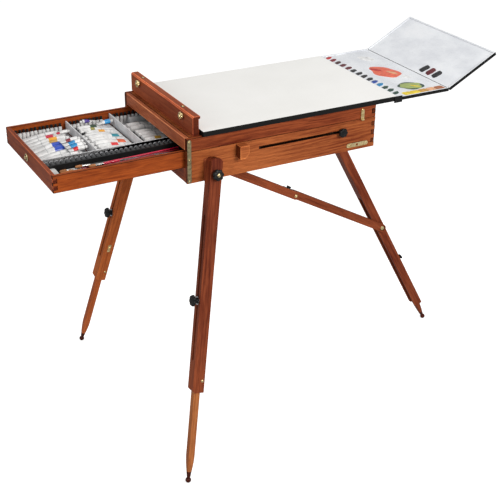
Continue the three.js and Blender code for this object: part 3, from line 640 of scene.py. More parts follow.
# ---------------------------------------------------------------- fasteners
def screw(shape, place, out, radius, metal=0, groove_shade=1):
    """A domed screw head with a driver slot: a dark bar across the dome that paints the slot's shade.
    """
    out = Vector(out).normalized()
    place = Vector(place)
    dome = [(0, radius), (radius * 0.12, radius), (radius * 0.34, radius * 0.86),
            (radius * 0.50, radius * 0.55), (radius * 0.55, radius * 0.2)]
    turn(shape, place, out, dome, metal, 20)
    u, v, w = frame_on(out)
    tilt = math.radians(35)
    across = u * math.cos(tilt) + v * math.sin(tilt)
    top = place + w * radius * 0.44
    bar(shape, top, across, w.cross(across), w, (radius * 1.5, radius * 0.24, radius * 0.26), groove_shade)


# ---------------------------------------------------------------- knobs
LOBES = 7
BOLT_RADIUS = 3.0 * MM
HEAD_SHARE = 0.6


def knob_span(node, joint):
    """Where a knob's axis crosses it: its foot, the way out, its length, its radius, and how
    far its bolt reaches behind the foot."""
    axis = Vector(joint["axis"]).normalized()
    place = Vector(joint["pos_m"])
    points = [vertex.co for vertex in NODES[node].data.vertices]
    along = [(point - place).dot(axis) for point in points]
    off = [((point - place) - axis * t).length for point, t in zip(points, along)]
    radius = max(off)
    rim = [t for t, r in zip(along, off) if r > 0.9 * radius]
    out = axis if sum(rim) / len(rim) > (min(along) + max(along)) / 2 else -axis
    heights = [t if out == axis else -t for t in along]
    foot = min(t for t, r in zip(heights, off) if r > BOLT_RADIUS * 1.15)
    return place + out * foot, out, max(heights) - foot, radius, foot - min(heights)


def star_knob(node, joint_name, screw_head=False, washer=False):
    """A black moulded knob with finger lobes on a waisted collar, and its bolt. Its body has
    its node's name."""
    foot, out, length, radius, bolt = knob_span(node, JOINTS[joint_name])
    thick = HEAD_SHARE * radius
    collar = length - thick
    neck = 0.46 * radius
    depth = 0.22

    def lobed(scale, share=1.0):
        def reach(angle):
            swell = abs(math.cos(angle * LOBES / 2)) ** 0.7
            return scale * radius * (1 - share * depth * (1 - swell))
        return reach

    steps = LOBES * 12
    waist = [(0.00, 1.18), (0.12, 1.22), (0.20, 1.05), (0.60, 1.00), (0.92, 1.18)]
    rings = [circle(foot + out * h * collar, out, r * neck, steps) for h, r in waist]
    lobes = [
        (0.0, 0.80, 0.6), (0.09, 0.93, 0.9), (0.22, 0.985, 1.0), (0.54, 1.0, 1.0),
        (0.71, 0.98, 1.0), (0.86, 0.92, 0.95), (0.95, 0.82, 0.8), (0.99, 0.64, 0.35),
    ]
    for h, scale, share in lobes:
        rings.append(circle(foot + out * (collar + h * thick), out, lobed(scale, share), steps))
    hub = [(1.0, 0.44), (0.94, 0.40), (0.92, 0.34), (0.92, 0.05)]
    for h, scale in hub:
        rings.append(circle(foot + out * (collar + h * thick), out, radius * scale, steps))
    shape = Shape()
    shape.loft(rings)
    face = foot + out * (collar + 0.91 * thick)
    if screw_head:
        screw(shape, face, out, radius * 0.33, 1, 2)
    else:
        turn(shape, face, out, [(0, 0.3 * radius), (0.05 * thick, 0.3 * radius),
                                (0.08 * thick, 0.2 * radius), (0.09 * thick, 0.02 * radius)], 0, 24)
    if bolt > 0.5 * MM:
        turn(shape, foot - out * bolt, out, [(0, 0.9 * BOLT_RADIUS), (0.4 * MM, BOLT_RADIUS),
                                             (bolt + 0.2 * MM, BOLT_RADIUS)], 1, 20)
    if washer:
        reach = 0.72 * radius
        turn(shape, foot + out * 0.1 * MM, out,
             [(0, reach), (0.9 * MM, reach), (1.1 * MM, reach * 0.96), (1.1 * MM, neck)], 3, 36)
    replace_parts(shape.make(node + "_fine", node, "black_plastic", KNOB_PARTS), node)


def thumb_knob(node):
    """A small knurled brass thumb nut with a domed, slotted screw end. Its body has its
    node's name."""
    foot, out, length, radius, _ = knob_span(node, JOINTS[node + "_turn"])
    steps = 72

    def knurled(scale):
        return lambda angle: scale * radius * (1 - 0.035 * (1 - math.cos(angle * 18)))

    shape = Shape()
    plain = [(0, 0.62), (0.10, 0.64), (0.14, 0.56), (0.30, 0.50), (0.36, 0.60)]
    rings = [circle(foot + out * h * length, out, r * radius, steps) for h, r in plain]
    for h, r in ((0.40, 0.90), (0.45, 0.97), (0.66, 0.97), (0.72, 0.90)):
        rings.append(circle(foot + out * h * length, out, knurled(r), steps))
    top = [(0.75, 0.74), (0.74, 0.60), (0.76, 0.44), (0.90, 0.40), (0.97, 0.30), (1.0, 0.05)]
    rings += [circle(foot + out * h * length, out, r * radius, steps) for h, r in top]
    shape.loft(rings)
    u, v, w = frame_on(out)
    slot_centre = foot + out * length * 0.955
    bar(shape, slot_centre, u, v, w, (radius * 0.66, radius * 0.09, length * 0.05), 1)
    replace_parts(shape.make(node + "_fine", node, "brass", [BRASS, GROOVE_SHADE]), node)


# ---------------------------------------------------------------- lower legs
FOOT_RADIUS = 7.75 * MM
NECK = [(7.2, 4.7), (9.0, 4.9), (12.5, 5.5), (18, 6.2), (23.8, 7.0)]
TAPER = (24.5, 66.0)


def rounded(centre, u, v, half_u, half_v, corner, per=5):
    """A rectangle with round corners, turning anticlockwise from u to v."""
    points = []
    for quarter, (a, b) in enumerate(((1, 1), (-1, 1), (-1, -1), (1, -1))):
        middle = centre + u * (a * (half_u - corner)) + v * (b * (half_v - corner))
        for k in range(per + 1):
            angle = math.pi / 2 * (quarter + k / per)
            points.append(middle + (u * math.cos(angle) + v * math.sin(angle)) * corner)
    return points


def lower_leg(node, extend, clamp, body, materials):
    """The sliding part of a leg: a square bar that tapers to a turned neck and a ball."""
    up = Vector(JOINTS[extend]["axis"]).normalized()
    front = Vector(JOINTS[clamp]["axis"]).normalized()
    side = front.cross(up)
    points = [vertex.co for vertex in NODES[node].data.vertices]
    heights = [point.dot(up) for point in points]
    top = [point for point, h in zip(points, heights) if h > max(heights) - 0.5 * MM]
    centre_u, half_u = middle_and_half(point.dot(side) for point in top)
    centre_v, half_v = middle_and_half(point.dot(front) for point in top)
    middle = side * centre_u + front * centre_v + up * max(heights)
    length = max(heights) - min(heights) - 8 * MM
    ball = middle - up * length
    rings = []
    for degrees in range(-88, 58, 12):
        angle = math.radians(degrees)
        r = FOOT_RADIUS * math.cos(angle)
        rings.append(rounded(ball + up * FOOT_RADIUS * math.sin(angle), side, front, r, r, r))
    for h, r in NECK:
        rings.append(rounded(ball + up * h * MM, side, front, r * MM, r * MM, r * MM))
    turned = len(rings)
    start = NECK[-1][1] * MM
    for k in range(6):
        share = k / 5
        wide = share ** 0.8
        corner = start * (1 - share) ** 1.5 + 1.2 * MM * share
        place = ball + up * (TAPER[0] + (TAPER[1] - TAPER[0]) * share) * MM
        half = [start + (h - start) * wide for h in (half_u, half_v)]
        rings.append(rounded(place, side, front, *half, corner))
    rings.append(rounded(middle - up * 1.5 * MM, side, front, half_u, half_v, 1.2 * MM))
    rings.append(rounded(middle, side, front, half_u - 1.2 * MM, half_v - 1.2 * MM, 0.8 * MM))
    numbers = [1] * turned + [0] * (len(rings) - 1 - turned)
    shape = Shape()
    shape.loft(rings, numbers)
    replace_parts(shape.make(node + "_fine", body, "wood_pale", materials), node)


# ---------------------------------------------------------------- small metal parts
# how far the faces of the hinge strap and of the catch plate are from the middle
STRAP_FACE = 197.8
CATCH_FACE = 197.4


def side_screws(side, sign):
    """Screws of the lid's strap and of the plate at the rear of the box."""
    out = X * sign
    shape = Shape()
    for z, radius in ((7, 2.7), (64, 2.5), (112, 3.4)):
        screw(shape, at(sign * STRAP_FACE, 6, z), out, radius * MM)
    for y in (478, 532):
        screw(shape, at(sign * CATCH_FACE, y, 15), out, 2.2 * MM)
    shape.make(f"side_screws_{side}", "box", "brass", [BRASS, GROOVE_SHADE])


# places along a front leg from its pivot, and half of its width
LEG_SCREW_AT = 538 * MM
LEG_CATCH_AT = 448 * MM
LEG_HALF = 15 * MM


def leg_metal(side):
    """A screw near the end of a front leg on each face, and a spring catch on its inner face."""
    down = -leg_axis(f"front_leg_{side}_extend")
    out = Vector(JOINTS[f"leg_pivot_knob_{side}_turn"]["axis"]).normalized()
    pivot = Vector(JOINTS[f"leg_pivot_knob_{side}_turn"]["pos_m"])
    body = f"front_leg_{side}"
    shape = Shape()
    rear = (Y - down * Y.dot(down)).normalized()
    for face in (out, -out):
        place = pivot + down * LEG_SCREW_AT + rear * 9 * MM + face * LEG_HALF
        screw(shape, place, face, 4.0 * MM)
    catch = pivot - out * (LEG_HALF + 0.5 * MM) + down * LEG_CATCH_AT
    bar(shape, catch, down, out.cross(down), out, (26 * MM, 9 * MM, 1 * MM))
    mm_turn(shape, catch, -out, [(0, 3.2), (1.6, 3.2), (2.6, 2.2), (2.8, 0.3)], 0, 20)
    for reach in (-10, 10):
        screw(shape, catch - out * 0.5 * MM + down * reach * MM, -out, 1.6 * MM)
    shape.make(f"leg_metal_{side}", body, "brass", [BRASS, GROOVE_SHADE])


def stay_metal():
    """The rivet head at the folding stay's middle joint and the lock plate on its top edge."""
    middle = Vector(JOINTS["stay_lower_fold"]["pos_m"])
    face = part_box("stay_upper")[1].x
    rivet = Shape()
    mm_turn(rivet, Vector((face, middle.y, middle.z)), X,
            [(0, 5.2), (0.5, 5.2), (0.9, 4.6), (1.0, 3.4), (1.9, 3.1), (2.5, 2.2), (2.7, 0.3)])
    rivet.make("stay_rivet", "stay_upper", "brass", [BRASS])
    button = JOINTS["stay_button_turn"]
    up = Vector(button["axis"]).normalized()
    along = up.cross(X)
    plate = Shape()
    centre = Vector(button["pos_m"]) + up * 11.9 * MM
    rings = []
    for h, half, wide, corner in ((-0.4, 19, 4.8, 3.0), (0.3, 19, 4.8, 3.0), (0.6, 18.4, 4.2, 2.6)):
        rings.append(rounded(centre + up * h * MM, X, -along, wide * MM, half * MM, corner * MM))
    plate.loft(rings)
    for reach in (-14, 14):
        screw(plate, centre + along * reach * MM + up * 0.55 * MM, up, 1.9 * MM, 1, 2)
    plate.make("stay_lock_plate", "stay_upper", "black_plastic", [BLACK, STEEL, GROOVE_SHADE])


def tray_inserts():
    """Two threaded brass inserts in the ledge bar's top. The ring round each and its hole are near
    black: painted shade of the recess and the hole.
    """
    shape = Shape()
    for x in (-141, 106):
        place = at(x, 33.5, 170.3)
        mm_turn(shape, place, Z, [(0, 5.4), (0.25, 5.4), (0.35, 5.0), (0.35, 3.9)], 1)
        mm_turn(shape, place, Z, [(0, 3.8), (0.8, 3.8), (1.1, 3.3), (1.0, 2.0), (0.4, 1.8)], 0)
        mm_turn(shape, place, Z, [(0, 1.8), (0.42, 1.8), (0.45, 0.2)], 1)
    shape.make("ledge_inserts", "tray", "brass", [BRASS, GROOVE_SHADE])


def bracket_screws():
    """Screws that hold the rear leg's and the stay's brackets, seen from below."""
    shape = Shape()
    low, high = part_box("rear_leg_bracket")
    for x in (low.x, high.x):
        out = X if x > 0 else -X
        for reach in (-11, 11):
            place = Vector((x, (low.y + high.y) / 2 + reach * MM, high.z - 6 * MM))
            screw(shape, place, out, 2.4 * MM)
    low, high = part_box("stay_bracket")
    for reach in (-8, 8):
        place = Vector((high.x, (low.y + high.y) / 2 + reach * MM, high.z - 5 * MM))
        screw(shape, place, X, 2.4 * MM)
    shape.make("bracket_screws", "box", "brass", [BRASS, GROOVE_SHADE])


def oval_ring(centre, across, up, wide, high, steps, ribbed=False):
    points = []
    for k in range(steps):
        angle = 2 * math.pi * k / steps
        swell = 1.0 - (0.09 if ribbed and k % 2 else 0)
        aside = across * math.cos(angle) * wide * swell
        points.append(centre + aside + up * math.sin(angle) * high * swell)
    return points


def drawer_catch():
    """A low oval brass pull with a dished middle, coloured near black as painted shade, and a brass
    button.
    """
    low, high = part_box("drawer_knob")
    foot = Vector(((low.x + high.x) / 2, high.y, (low.z + high.z) / 2))
    wide = (high.x - low.x) / 2
    tall = (high.z - low.z) / 2
    deep = high.y - low.y
    shape = Shape()
    plate = [(0, 0.94, 0), (0.14, 1.0, 0), (0.24, 0.98, 0), (0.38, 0.88, 0), (0.42, 0.78, 0),
             (0.36, 0.66, 1), (0.16, 0.60, 1), (0.14, 0.50, 1)]
    rings = [oval_ring(foot - Y * h * deep, X, Z, r * wide, r * tall, 40) for h, r, _ in plate]
    shape.loft(rings, [number for _, _, number in plate[:-1]])
    button = [(0.14, 0.42), (0.70, 0.40), (0.90, 0.36), (0.98, 0.26), (1.0, 0.05)]
    shape.loft([oval_ring(foot - Y * h * deep, X, Z, r * wide, r * wide, 28) for h, r in button])
    drawer_piece(shape, "drawer_knob_fine", "brass", "drawer_knob", [BRASS, GROOVE_SHADE])


# ---------------------------------------------------------------- drawer contents
COLOURS = {
    "crimson": (0.60, 0.01, 0.05), "amber": (0.85, 0.38, 0.02), "ochre": (0.62, 0.36, 0.06),
    "royal": (0.010, 0.065, 0.48), "cyan": (0.02, 0.30, 0.65), "red": (0.72, 0.015, 0.02),
    "maroon": (0.27, 0.010, 0.022), "green": (0.010, 0.05, 0.015), "olive": (0.30, 0.27, 0.06),
    "teal": (0.01, 0.26, 0.33), "orange": (0.80, 0.13, 0.04), "purple": (0.06, 0.025, 0.30),
    "grey": (0.45, 0.46, 0.47), "black": (0.010, 0.010, 0.011),
}
LABEL = {}


def label(name):
    """The printed colour band of one tube: one material a colour, made when it is first used."""
    if name not in LABEL:
        LABEL[name] = plastic("label_" + name, COLOURS[name], (0.22, 0.38), 500, 0.05)
    return LABEL[name]


def paint_tube(shape, x, cap_y, tail_y, radius, z, band_y, band, cap, colour):
    """A paint tube lying along Y: ribbed cap, neck, shoulder, a body that flattens towards a
    folded tail, a colour band and a fine printed line. band_y is the band's middle."""
    length = abs(tail_y - cap_y)
    sign = 1 if tail_y > cap_y else -1
    along = Y * sign
    across = Z.cross(along)
    cap_length = 0.95 * radius
    shoulder = cap_length + 0.45 * radius
    body_end = length - 7.5
    centre = abs(band_y - cap_y)
    edges = (centre - band / 2, centre + band / 2)
    line = centre + band / 2 + 0.16 * length
    stops = sorted({shoulder, *edges, line, line + 1.6, body_end,
                    *[shoulder + (body_end - shoulder) * k / 9 for k in range(1, 9)]})
    stations = [(0, 0.46, 0.46, cap), (0.08 * radius, 0.58, 0.58, cap), (cap_length, 0.66, 0.66, cap),
                (cap_length + 0.1, 0.34, 0.34, 0), (cap_length + 1.1, 0.34, 0.34, 0),
                (cap_length + 1.3, 0.62, 0.62, 0)]
    for d in stops:
        if not shoulder <= d <= body_end:
            continue
        share = (d - shoulder) / (body_end - shoulder)
        flat = max(0.0, (share - 0.30) / 0.70) ** 1.4
        number = colour if edges[0] - 0.01 <= d < edges[1] - 0.01 else 0
        if line - 0.01 <= d < line + 1.5:
            number = 2
        stations.append((d, 1.0 + 0.20 * flat, 1.0 - 0.86 * flat, number))
    stations += [(body_end + 0.3, 1.22, 0.16, 0), (length - 3.6, 1.22, 0.19, 0),
                 (length - 3.4, 1.22, 0.14, 0), (length, 1.21, 0.13, 0)]
    rings = []
    for d, wide, high, number in stations:
        sunk = (1 - high) * radius * 0.45 if d > shoulder else 0
        place = at(x, cap_y, z - sunk) + along * d * MM
        ribbed = d <= cap_length and d > 0
        rings.append(oval_ring(place, across, Z, wide * radius * MM, high * radius * MM, 24, ribbed))
    shape.loft(rings, [number for *_, number in stations[:-1]])


# x, cap y, tail y, radius, z of the middle, middle of the band, its length, cap, colour
TUBES = {
    "front": [
        (-137, -206, -325, 9.2, 56, -252, 3, "white", "grey"),
        (-117, -203, -325, 9.2, 56, -247, 20, "white", "crimson"),
        (-97, -200, -326, 9.3, 56, -245, 22, "white", "amber"),
        (-77, -206, -325, 9.2, 56, -250, 22, "white", "ochre"),
        (-52, -208, -326, 11.2, 58, -250, 26, "white", "royal"),
        (-27, -207, -325, 11.2, 58, -252, 26, "white", "royal"),
        (-4, -205, -324, 9.4, 56, -236, 5, "white", "grey"),
        (17, -206, -325, 9.4, 56, -240, 4, "white", "grey"),
        (39, -205, -325, 9.4, 56, -238, 5, "white", "grey"),
        (-112, -192, -236, 4.6, 69, -224, 9, "white", "crimson"),
        (-40, -190, -243, 6.0, 74, -223, 12, "white", "maroon"),
        (-19, -189, -243, 6.4, 74, -221, 17, "white", "cyan"),
        (-4, -189, -241, 6.4, 72, -221, 17, "white", "cyan"),
        (12, -190, -240, 6.2, 70, -222, 12, "white", "red"),
    ],
    "middle": [
        (-138, -171, -68, 8.8, 56, -118, 18, "black", "green"),
        (-119, -173, -66, 8.8, 56, -127, 12, "black", "olive"),
        (-101, -161, -67, 7.6, 56, -109, 17, "black", "amber"),
        (-133, -63, -108, 6.0, 68, -76, 22, "white", "cyan"),
        (-82, -172, -66, 8.8, 56, -92, 5, "white", "grey"),
        (-64, -171, -67, 9.0, 57, -86, 20, "white", "teal"),
        (-43, -173, -66, 9.2, 56, -92, 4, "white", "grey"),
        (-21, -170, -66, 9.4, 57, -87, 22, "white", "orange"),
        (1, -171, -66, 9.2, 56, -114, 19, "white", "red"),
        (22, -172, -67, 9.2, 56, -100, 4, "white", "grey"),
        (43, -170, -66, 9.2, 56, -96, 4, "white", "grey"),
        (-158, -146, -104, 5.2, 69, -127, 14, "white", "purple"),
    ],
    "rear": [
        (-100, -48, 62, 9.2, 56, 0, 4, "white", "grey"),
        (-79, -47, 63, 9.2, 56, 4, 4, "white", "grey"),
        (-45, -46, 58, 8.8, 56, 10, 4, "black", "grey"),
        (-26, -47, 60, 8.8, 56, 12, 4, "black", "grey"),
        (-7, -45, 59, 8.8, 56, 8, 4, "black", "grey"),
        (13, -47, 62, 9.2, 56, 2, 18, "black", "ochre"),
        (34, -47, 63, 9.2, 56, 0, 18, "white", "teal"),
        (-70, 70, 127, 8.6, 56, 90, 14, "white", "crimson"),
        (-30, 70, 127, 8.6, 56, 90, 14, "white", "royal"),
        (10, 70, 127, 8.6, 56, 90, 14, "white", "green"),
    ],
}
SMALL_TUBE = [
    (0, 3.4, 0), (0.6, 4.8, 0), (19, 4.9, 0), (21.5, 4.3, 0), (22.2, 2.2, 0), (23.2, 2.2, 1),
    (23.3, 3.5, 1), (30.4, 3.2, 1), (31.2, 2.6, 1), (31.4, 0.2, 1),
]


def drawer_piece(shape, name, slot, node, materials):
    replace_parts(shape.make(name, "drawer", slot, materials), node)


def all_tubes():
    white = plastic("tube_white", (0.80, 0.80, 0.795), (0.20, 0.34), 400, 0.05)
    clear = plastic("bottle_grey", (0.40, 0.42, 0.43), (0.12, 0.25), 300, 0.04)
    for part, rows in TUBES.items():
        colours = sorted({row[8] for row in rows})
        materials = [white, BLACK, label("grey")] + [label(name) for name in colours]
        shape = Shape()
        for x, cap_y, tail_y, radius, z, band_y, band, cap, colour in rows:
            number = 3 + colours.index(colour)
            paint_tube(shape, x, cap_y, tail_y, radius, z, band_y, band, int(cap == "black"), number)
        drawer_piece(shape, f"paint_tubes_{part}", "tubes", "paint_tubes", materials)

    chance = random.Random(5)
    row = Shape()
    for y0, y1 in ((-322, -190), (-172, -66), (-48, 118)):
        for k in range(int((y1 - y0) / 11)):
            foot = at(-161 + chance.uniform(-0.6, 0.6), y0 + 11 * k, 43.5)
            lean = unit(chance.uniform(-0.03, 0.03), chance.uniform(-0.04, 0.04), 1)
            mm_bands(row, foot, lean, SMALL_TUBE, 16)
    drawer_piece(row, "small_tubes", "tubes", "paint_tubes", [white, BLACK])

    bottle = Shape()
    glass = [(0, 11), (1.5, 13), (48, 13), (53, 11), (56, 6), (57, 6)]
    cap = [(0, 6), (0.2, 7.2), (9, 7.0), (10, 5)]
    mm_turn(bottle, at(-128, -18, 58), Y, glass, 0, 32)
    mm_turn(bottle, at(-128, 39, 58), Y, cap, 1, 32)
    drawer_piece(bottle, "medium_bottle", "tubes", "paint_tubes", [clear, BLACK])


def tube_liner():
    """The thin moulded grey tray that the tubes lie in, ribbed underneath, and the sticks' rack."""
    grey_tray = plastic("tube_tray", (0.34, 0.34, 0.35), (0.35, 0.5), 500, 0.1)
    shape = Shape()
    x0, x1 = -167, 57
    for y0, y1 in ((-329, -184), (-179, -60), (-55, 128)):
        mm_block(shape, ((x0 + x1) / 2, (y0 + y1) / 2, 45.6), (x1 - x0, y1 - y0, 1.6))
        for k in range(6):
            rib_y = y0 + (y1 - y0) * (k + 0.5) / 6
            mm_block(shape, ((x0 + x1) / 2, rib_y, 43.7), (x1 - x0 - 4, 1.4, 2.2))
    for x in (66, 97):
        mm_block(shape, (x, -100, 52.5), (3, 450, 14), 1)
    drawer_piece(shape, "tube_liner", "tubes", "paint_tubes", [grey_tray, DIVIDER])


def drawing_sticks():
    """Dark round sticks across their rack, each with a pale ring near its ends."""
    chance = random.Random(9)
    profile = [(0, 4.6, 0), (0.6, 5.8, 0), (3.0, 5.9, 1), (5.2, 5.9, 0), (31.5, 5.9, 1), (33.7, 5.9, 0),
               (36.2, 5.8, 0), (36.8, 4.6, 0)]
    dark = plastic("stick_dark", (0.045, 0.047, 0.050), (0.30, 0.45))
    pale = plastic("stick_ring", (0.62, 0.63, 0.65), (0.30, 0.45))
    shape = Shape()
    for k in range(34):
        start = at(62.9 + chance.uniform(-0.4, 0.4), -318 + 13.2 * k, 65.6 + chance.uniform(-0.3, 0.3))
        mm_bands(shape, start, X, profile, 20)
    drawer_piece(shape, "drawing_sticks", "tubes", "paint_tubes", [dark, pale])


# x and y of the tip, x and y of the handle's end, z, handle radius, tuft radius, handle colour
BRUSHES = [
    (112, -300, 118, 16, 61.5, 3.4, 3.6, "black"), (121, -286, 112, 18, 61.2, 3.6, 4.4, "maroon"),
    (130, -305, 133, 10, 61.0, 3.2, 3.4, "black"), (139, -270, 127, 19, 61.5, 3.8, 4.6, "black"),
    (148, -292, 147, 14, 61.0, 3.4, 3.8, "maroon"), (156, -232, 153, 18, 61.2, 4.0, 3.4, "black"),
    (117, -262, 140, 8, 68.0, 3.4, 3.8, "black"), (131, -232, 116, 15, 68.4, 3.6, 4.4, "crimson"),
    (146, -216, 128, 12, 68.2, 3.4, 3.6, "maroon"), (152, -222, 156, 16, 68.6, 3.6, 3.0, "black"),
]


def brush(shape, row, number):
    tip_x, tip_y, end_x, end_y, z, handle, tuft, _ = row
    start = at(tip_x, tip_y, z)
    axis = at(end_x, end_y, z) - start
    length = axis.length / MM
    axis.normalize()
    parts = [
        (0, tuft * 0.25, 0), (3, tuft * 0.75, 0), (10, tuft, 0), (17, tuft * 0.85, 1),
        (17.2, tuft * 0.9, 1), (30, handle * 0.85, 1), (31, handle * 0.93, 1),
        (33, handle * 0.85, 1), (38, handle * 0.85, number), (60, handle, number),
        (length * 0.55, handle * 0.75, number), (length - 8, handle * 0.42, number),
        (length - 2, handle * 0.36, number), (length, handle * 0.12, number),
    ]
    mm_bands(shape, start, axis, parts, 18)


def brush_shade_trough():
    """A black trough that the brushes lie in, with a lip over the rack's far wall: a dark sheet that
    paints the shade in the brush compartment.
    """
    shape = Shape()
    x, y, wide, length, wall = 137.2, -70.7, 61.6, 517, 1.4
    mm_block(shape, (x, y, 56.8), (wide, length, wall))
    mm_block(shape, (105.9, y, 60), (wall, length, 32))
    mm_block(shape, (104.2, y, 76.5), (4.8, length, 1))
    for end_y in (-329.6, 188.2):
        mm_block(shape, (x, end_y, 62), (wide, wall, 12))
    drawer_piece(shape, "brush_shade_trough", "black_plastic", "brushes", [BLACK])


def brush_compartment():
    hair = paint("brush_hair", (0.42, 0.17, 0.06), 0.4, (0.6, 0.8), 0.0)
    handles = ["black", "crimson", "maroon"]
    lacquer = [plastic("handle_" + name, COLOURS[name], (0.12, 0.28), 300, 0.05) for name in handles]
    shape = Shape()
    for row in BRUSHES:
        brush(shape, row, 2 + handles.index(row[7]))
    ferrule = plated("ferrule", (0.46, 0.45, 0.44), (0.22, 0.21, 0.20))
    drawer_piece(shape, "brushes_fine", "brush", "brushes", [hair, ferrule] + lacquer)

    knife = Shape()
    mm_turn(knife, at(152, -312, 72), unit(0.03, 1, 0),
            [(0, 3), (2, 5), (14, 5.6), (40, 4.8), (52, 5.4), (54, 4.4)], 0)
    drawer_piece(knife, "tool_handle", "brush", "brushes", [wood("tool_handle_wood", "pale", Y, 77)])

    eraser = Shape()
    rings = []
    for h, inset in ((0, 1.2), (1.2, 0), (11, 0), (12.4, 1.4)):
        half = [(size - inset) * MM for size in (17, 8.5)]
        rings.append(rounded(at(122, -318, 58 + h), X, Y, *half, 2.2 * MM))
    eraser.loft(rings)
    drawer_piece(eraser, "eraser", "tubes", "brushes", [plastic("eraser_white", (0.76, 0.76, 0.74))])


# ---------------------------------------------------------------- dried paint on the palette
PAN_FLOOR = 126.6
LID_HINGE = (798, 129)
LID_TILT = math.radians(28)
LID_ALONG = unit(0, math.cos(LID_TILT), math.sin(LID_TILT))
LID_UP = unit(0, -math.sin(LID_TILT), math.cos(LID_TILT))
LID_FLOOR = 2.4
PAINTS = {
    "red": (0.50, 0.012, 0.012), "crimson": (0.22, 0.008, 0.020), "darkred": (0.12, 0.008, 0.014),
    "brown": (0.06, 0.012, 0.010), "black": (0.010, 0.010, 0.012), "blue": (0.012, 0.060, 0.34),
    "cyan": (0.02, 0.24, 0.50), "darkgreen": (0.012, 0.055, 0.035), "yellow": (0.85, 0.62, 0.02),
    "ochre": (0.62, 0.33, 0.06), "peach": (0.80, 0.42, 0.22), "sienna": (0.40, 0.12, 0.035),
    "vermilion": (0.80, 0.13, 0.06), "green": (0.36, 0.44, 0.12), "white": (0.84, 0.85, 0.85),
}
# x, y, half length along the dab, half width, turn in degrees, height, colour
DABS = [
    (-178, 645, 15, 7, 120, 1.5, "red"), (-154, 645, 16, 7.5, 120, 1.6, "crimson"),
    (-129, 646, 16, 7, 120, 1.5, "brown"), (-101, 645, 16, 8, 120, 1.7, "darkred"),
    (-73, 646, 16, 8, 120, 1.5, "darkred"), (-46, 645, 16, 8, 120, 1.6, "black"),
    (-18, 646, 16, 8, 120, 1.5, "black"), (9, 645, 16, 8, 120, 1.7, "black"),
    (36, 646, 16, 8, 120, 1.5, "black"), (61, 645, 15, 8, 120, 1.6, "blue"),
    (87, 646, 15, 8, 120, 1.6, "cyan"), (113, 645, 15, 7.5, 120, 1.5, "darkgreen"),
    (138, 646, 15, 7.5, 120, 1.6, "darkgreen"), (163, 645, 15, 7, 120, 1.5, "darkgreen"),
    (3, 722, 50, 38, 12, 0.8, "vermilion"), (-24, 708, 20, 9, 30, 1.1, "red"),
    (18, 736, 22, 7, 20, 1.1, "peach"),
    (133, 718, 37, 30, 70, 0.5, "darkgreen"), (133, 718, 33, 26, 70, 0.8, "green"),
    (140, 726, 15, 5, 40, 1.1, "yellow"),
    (-125, 742, 26, 17, 20, 0.8, "white"), (62, 752, 18, 10, 15, 0.6, "white"),
]
SWATCHES = [
    (181, 672, 13.5, 13, 90, 1.2, "yellow"), (181, 699, 13.5, 13, 90, 1.3, "yellow"),
    (181, 726, 13.5, 13, 90, 1.2, "ochre"), (181, 753, 13.5, 13, 90, 1.3, "peach"),
    (181, 780, 13.5, 13, 90, 1.2, "sienna"),
]
LID_DABS = [
    (57, 24, 15, 10.5, 75, 1.6, "black"), (86, 24, 15, 10.5, 75, 1.5, "darkred"),
    (114, 24, 15, 10.5, 75, 1.6, "black"),
]


# height and width of a dab's rings, as shares of the whole
DAB_PROFILE = [
    (-0.15, 1.0), (0.25, 0.99), (0.62, 0.93), (0.86, 0.80), (1.0, 0.55), (0.93, 0.28), (1.0, 0.04),
]


def dab(shape, centre, u, v, up, half_length, half_width, degrees, height, number, chance, corners=2):
    """A dried dab of paint: an uneven outline, a thin edge and a streaky, domed top. More
    corners bring its outline from an oval nearer to a rectangle."""
    turned = math.radians(degrees)
    a = u * math.cos(turned) + v * math.sin(turned)
    b = v * math.cos(turned) - u * math.sin(turned)
    steps = 28
    waves = [(n, chance.uniform(-0.07, 0.07), chance.uniform(0, 6.3)) for n in (2, 3, 4, 5, 7)]
    rings = []
    for h, scale in DAB_PROFILE:
        ring = []
        for k in range(steps):
            angle = 2 * math.pi * k / steps
            edge = 1 + sum(size * math.sin(n * angle + phase) for n, size, phase in waves) * 2 / corners
            power = abs(math.cos(angle)) ** corners + abs(math.sin(angle)) ** corners
            edge *= power ** (-1 / corners)
            lump = 1 + (chance.uniform(-0.16, 0.10) if h > 0.5 else 0)
            along = math.cos(angle) * half_length * scale * edge
            across = math.sin(angle) * half_width * scale * edge
            ring.append(centre + (a * along + b * across + up * h * height * lump) * MM)
        rings.append(ring)
    shape.loft(rings, number)


def dried_paint():
    chance = random.Random(21)
    names = sorted(PAINTS)
    materials = [paint("paint_" + name, PAINTS[name], 0.35, (0.25, 0.45), 0.08) for name in names]
    pan = Shape()
    for table, corners in ((DABS, 2), (SWATCHES, 7)):
        for x, y, half_length, half_width, degrees, height, colour in table:
            dab(pan, at(x, y, PAN_FLOOR), X, Y, Z, half_length, half_width, degrees, height,
                names.index(colour), chance, corners)
    pan.make("dried_paint_pan", "palette", "palette", materials)
    lid = Shape()
    for x, reach, half_length, half_width, degrees, height, colour in LID_DABS:
        centre = at(x, *LID_HINGE) + LID_ALONG * reach * MM - LID_UP * LID_FLOOR * MM
        dab(lid, centre, X, LID_ALONG, LID_UP, half_length, half_width, degrees, height,
            names.index(colour), chance, 5)
    lid.make("dried_paint_lid", "palette_lid", "palette", materials)


# ---------------------------------------------------------------- the scene
make_camera()
make_studio()

BRASS = brass()
AGED_BRASS = plated("aged_brass", (0.40, 0.345, 0.20), (0.17, 0.145, 0.085))
BLACK = plastic("black_plastic", (0.009, 0.0095, 0.010), (0.34, 0.50), shine=0.2)
# near black for screw slots, holes, recesses and the dished middle of the drawer pull: painted shade in
# these hollows
GROOVE_SHADE = plastic("groove_shade", (0.02, 0.018, 0.015), (0.6, 0.8))
STEEL = plated("steel", (0.72, 0.73, 0.75), (0.42, 0.42, 0.44))


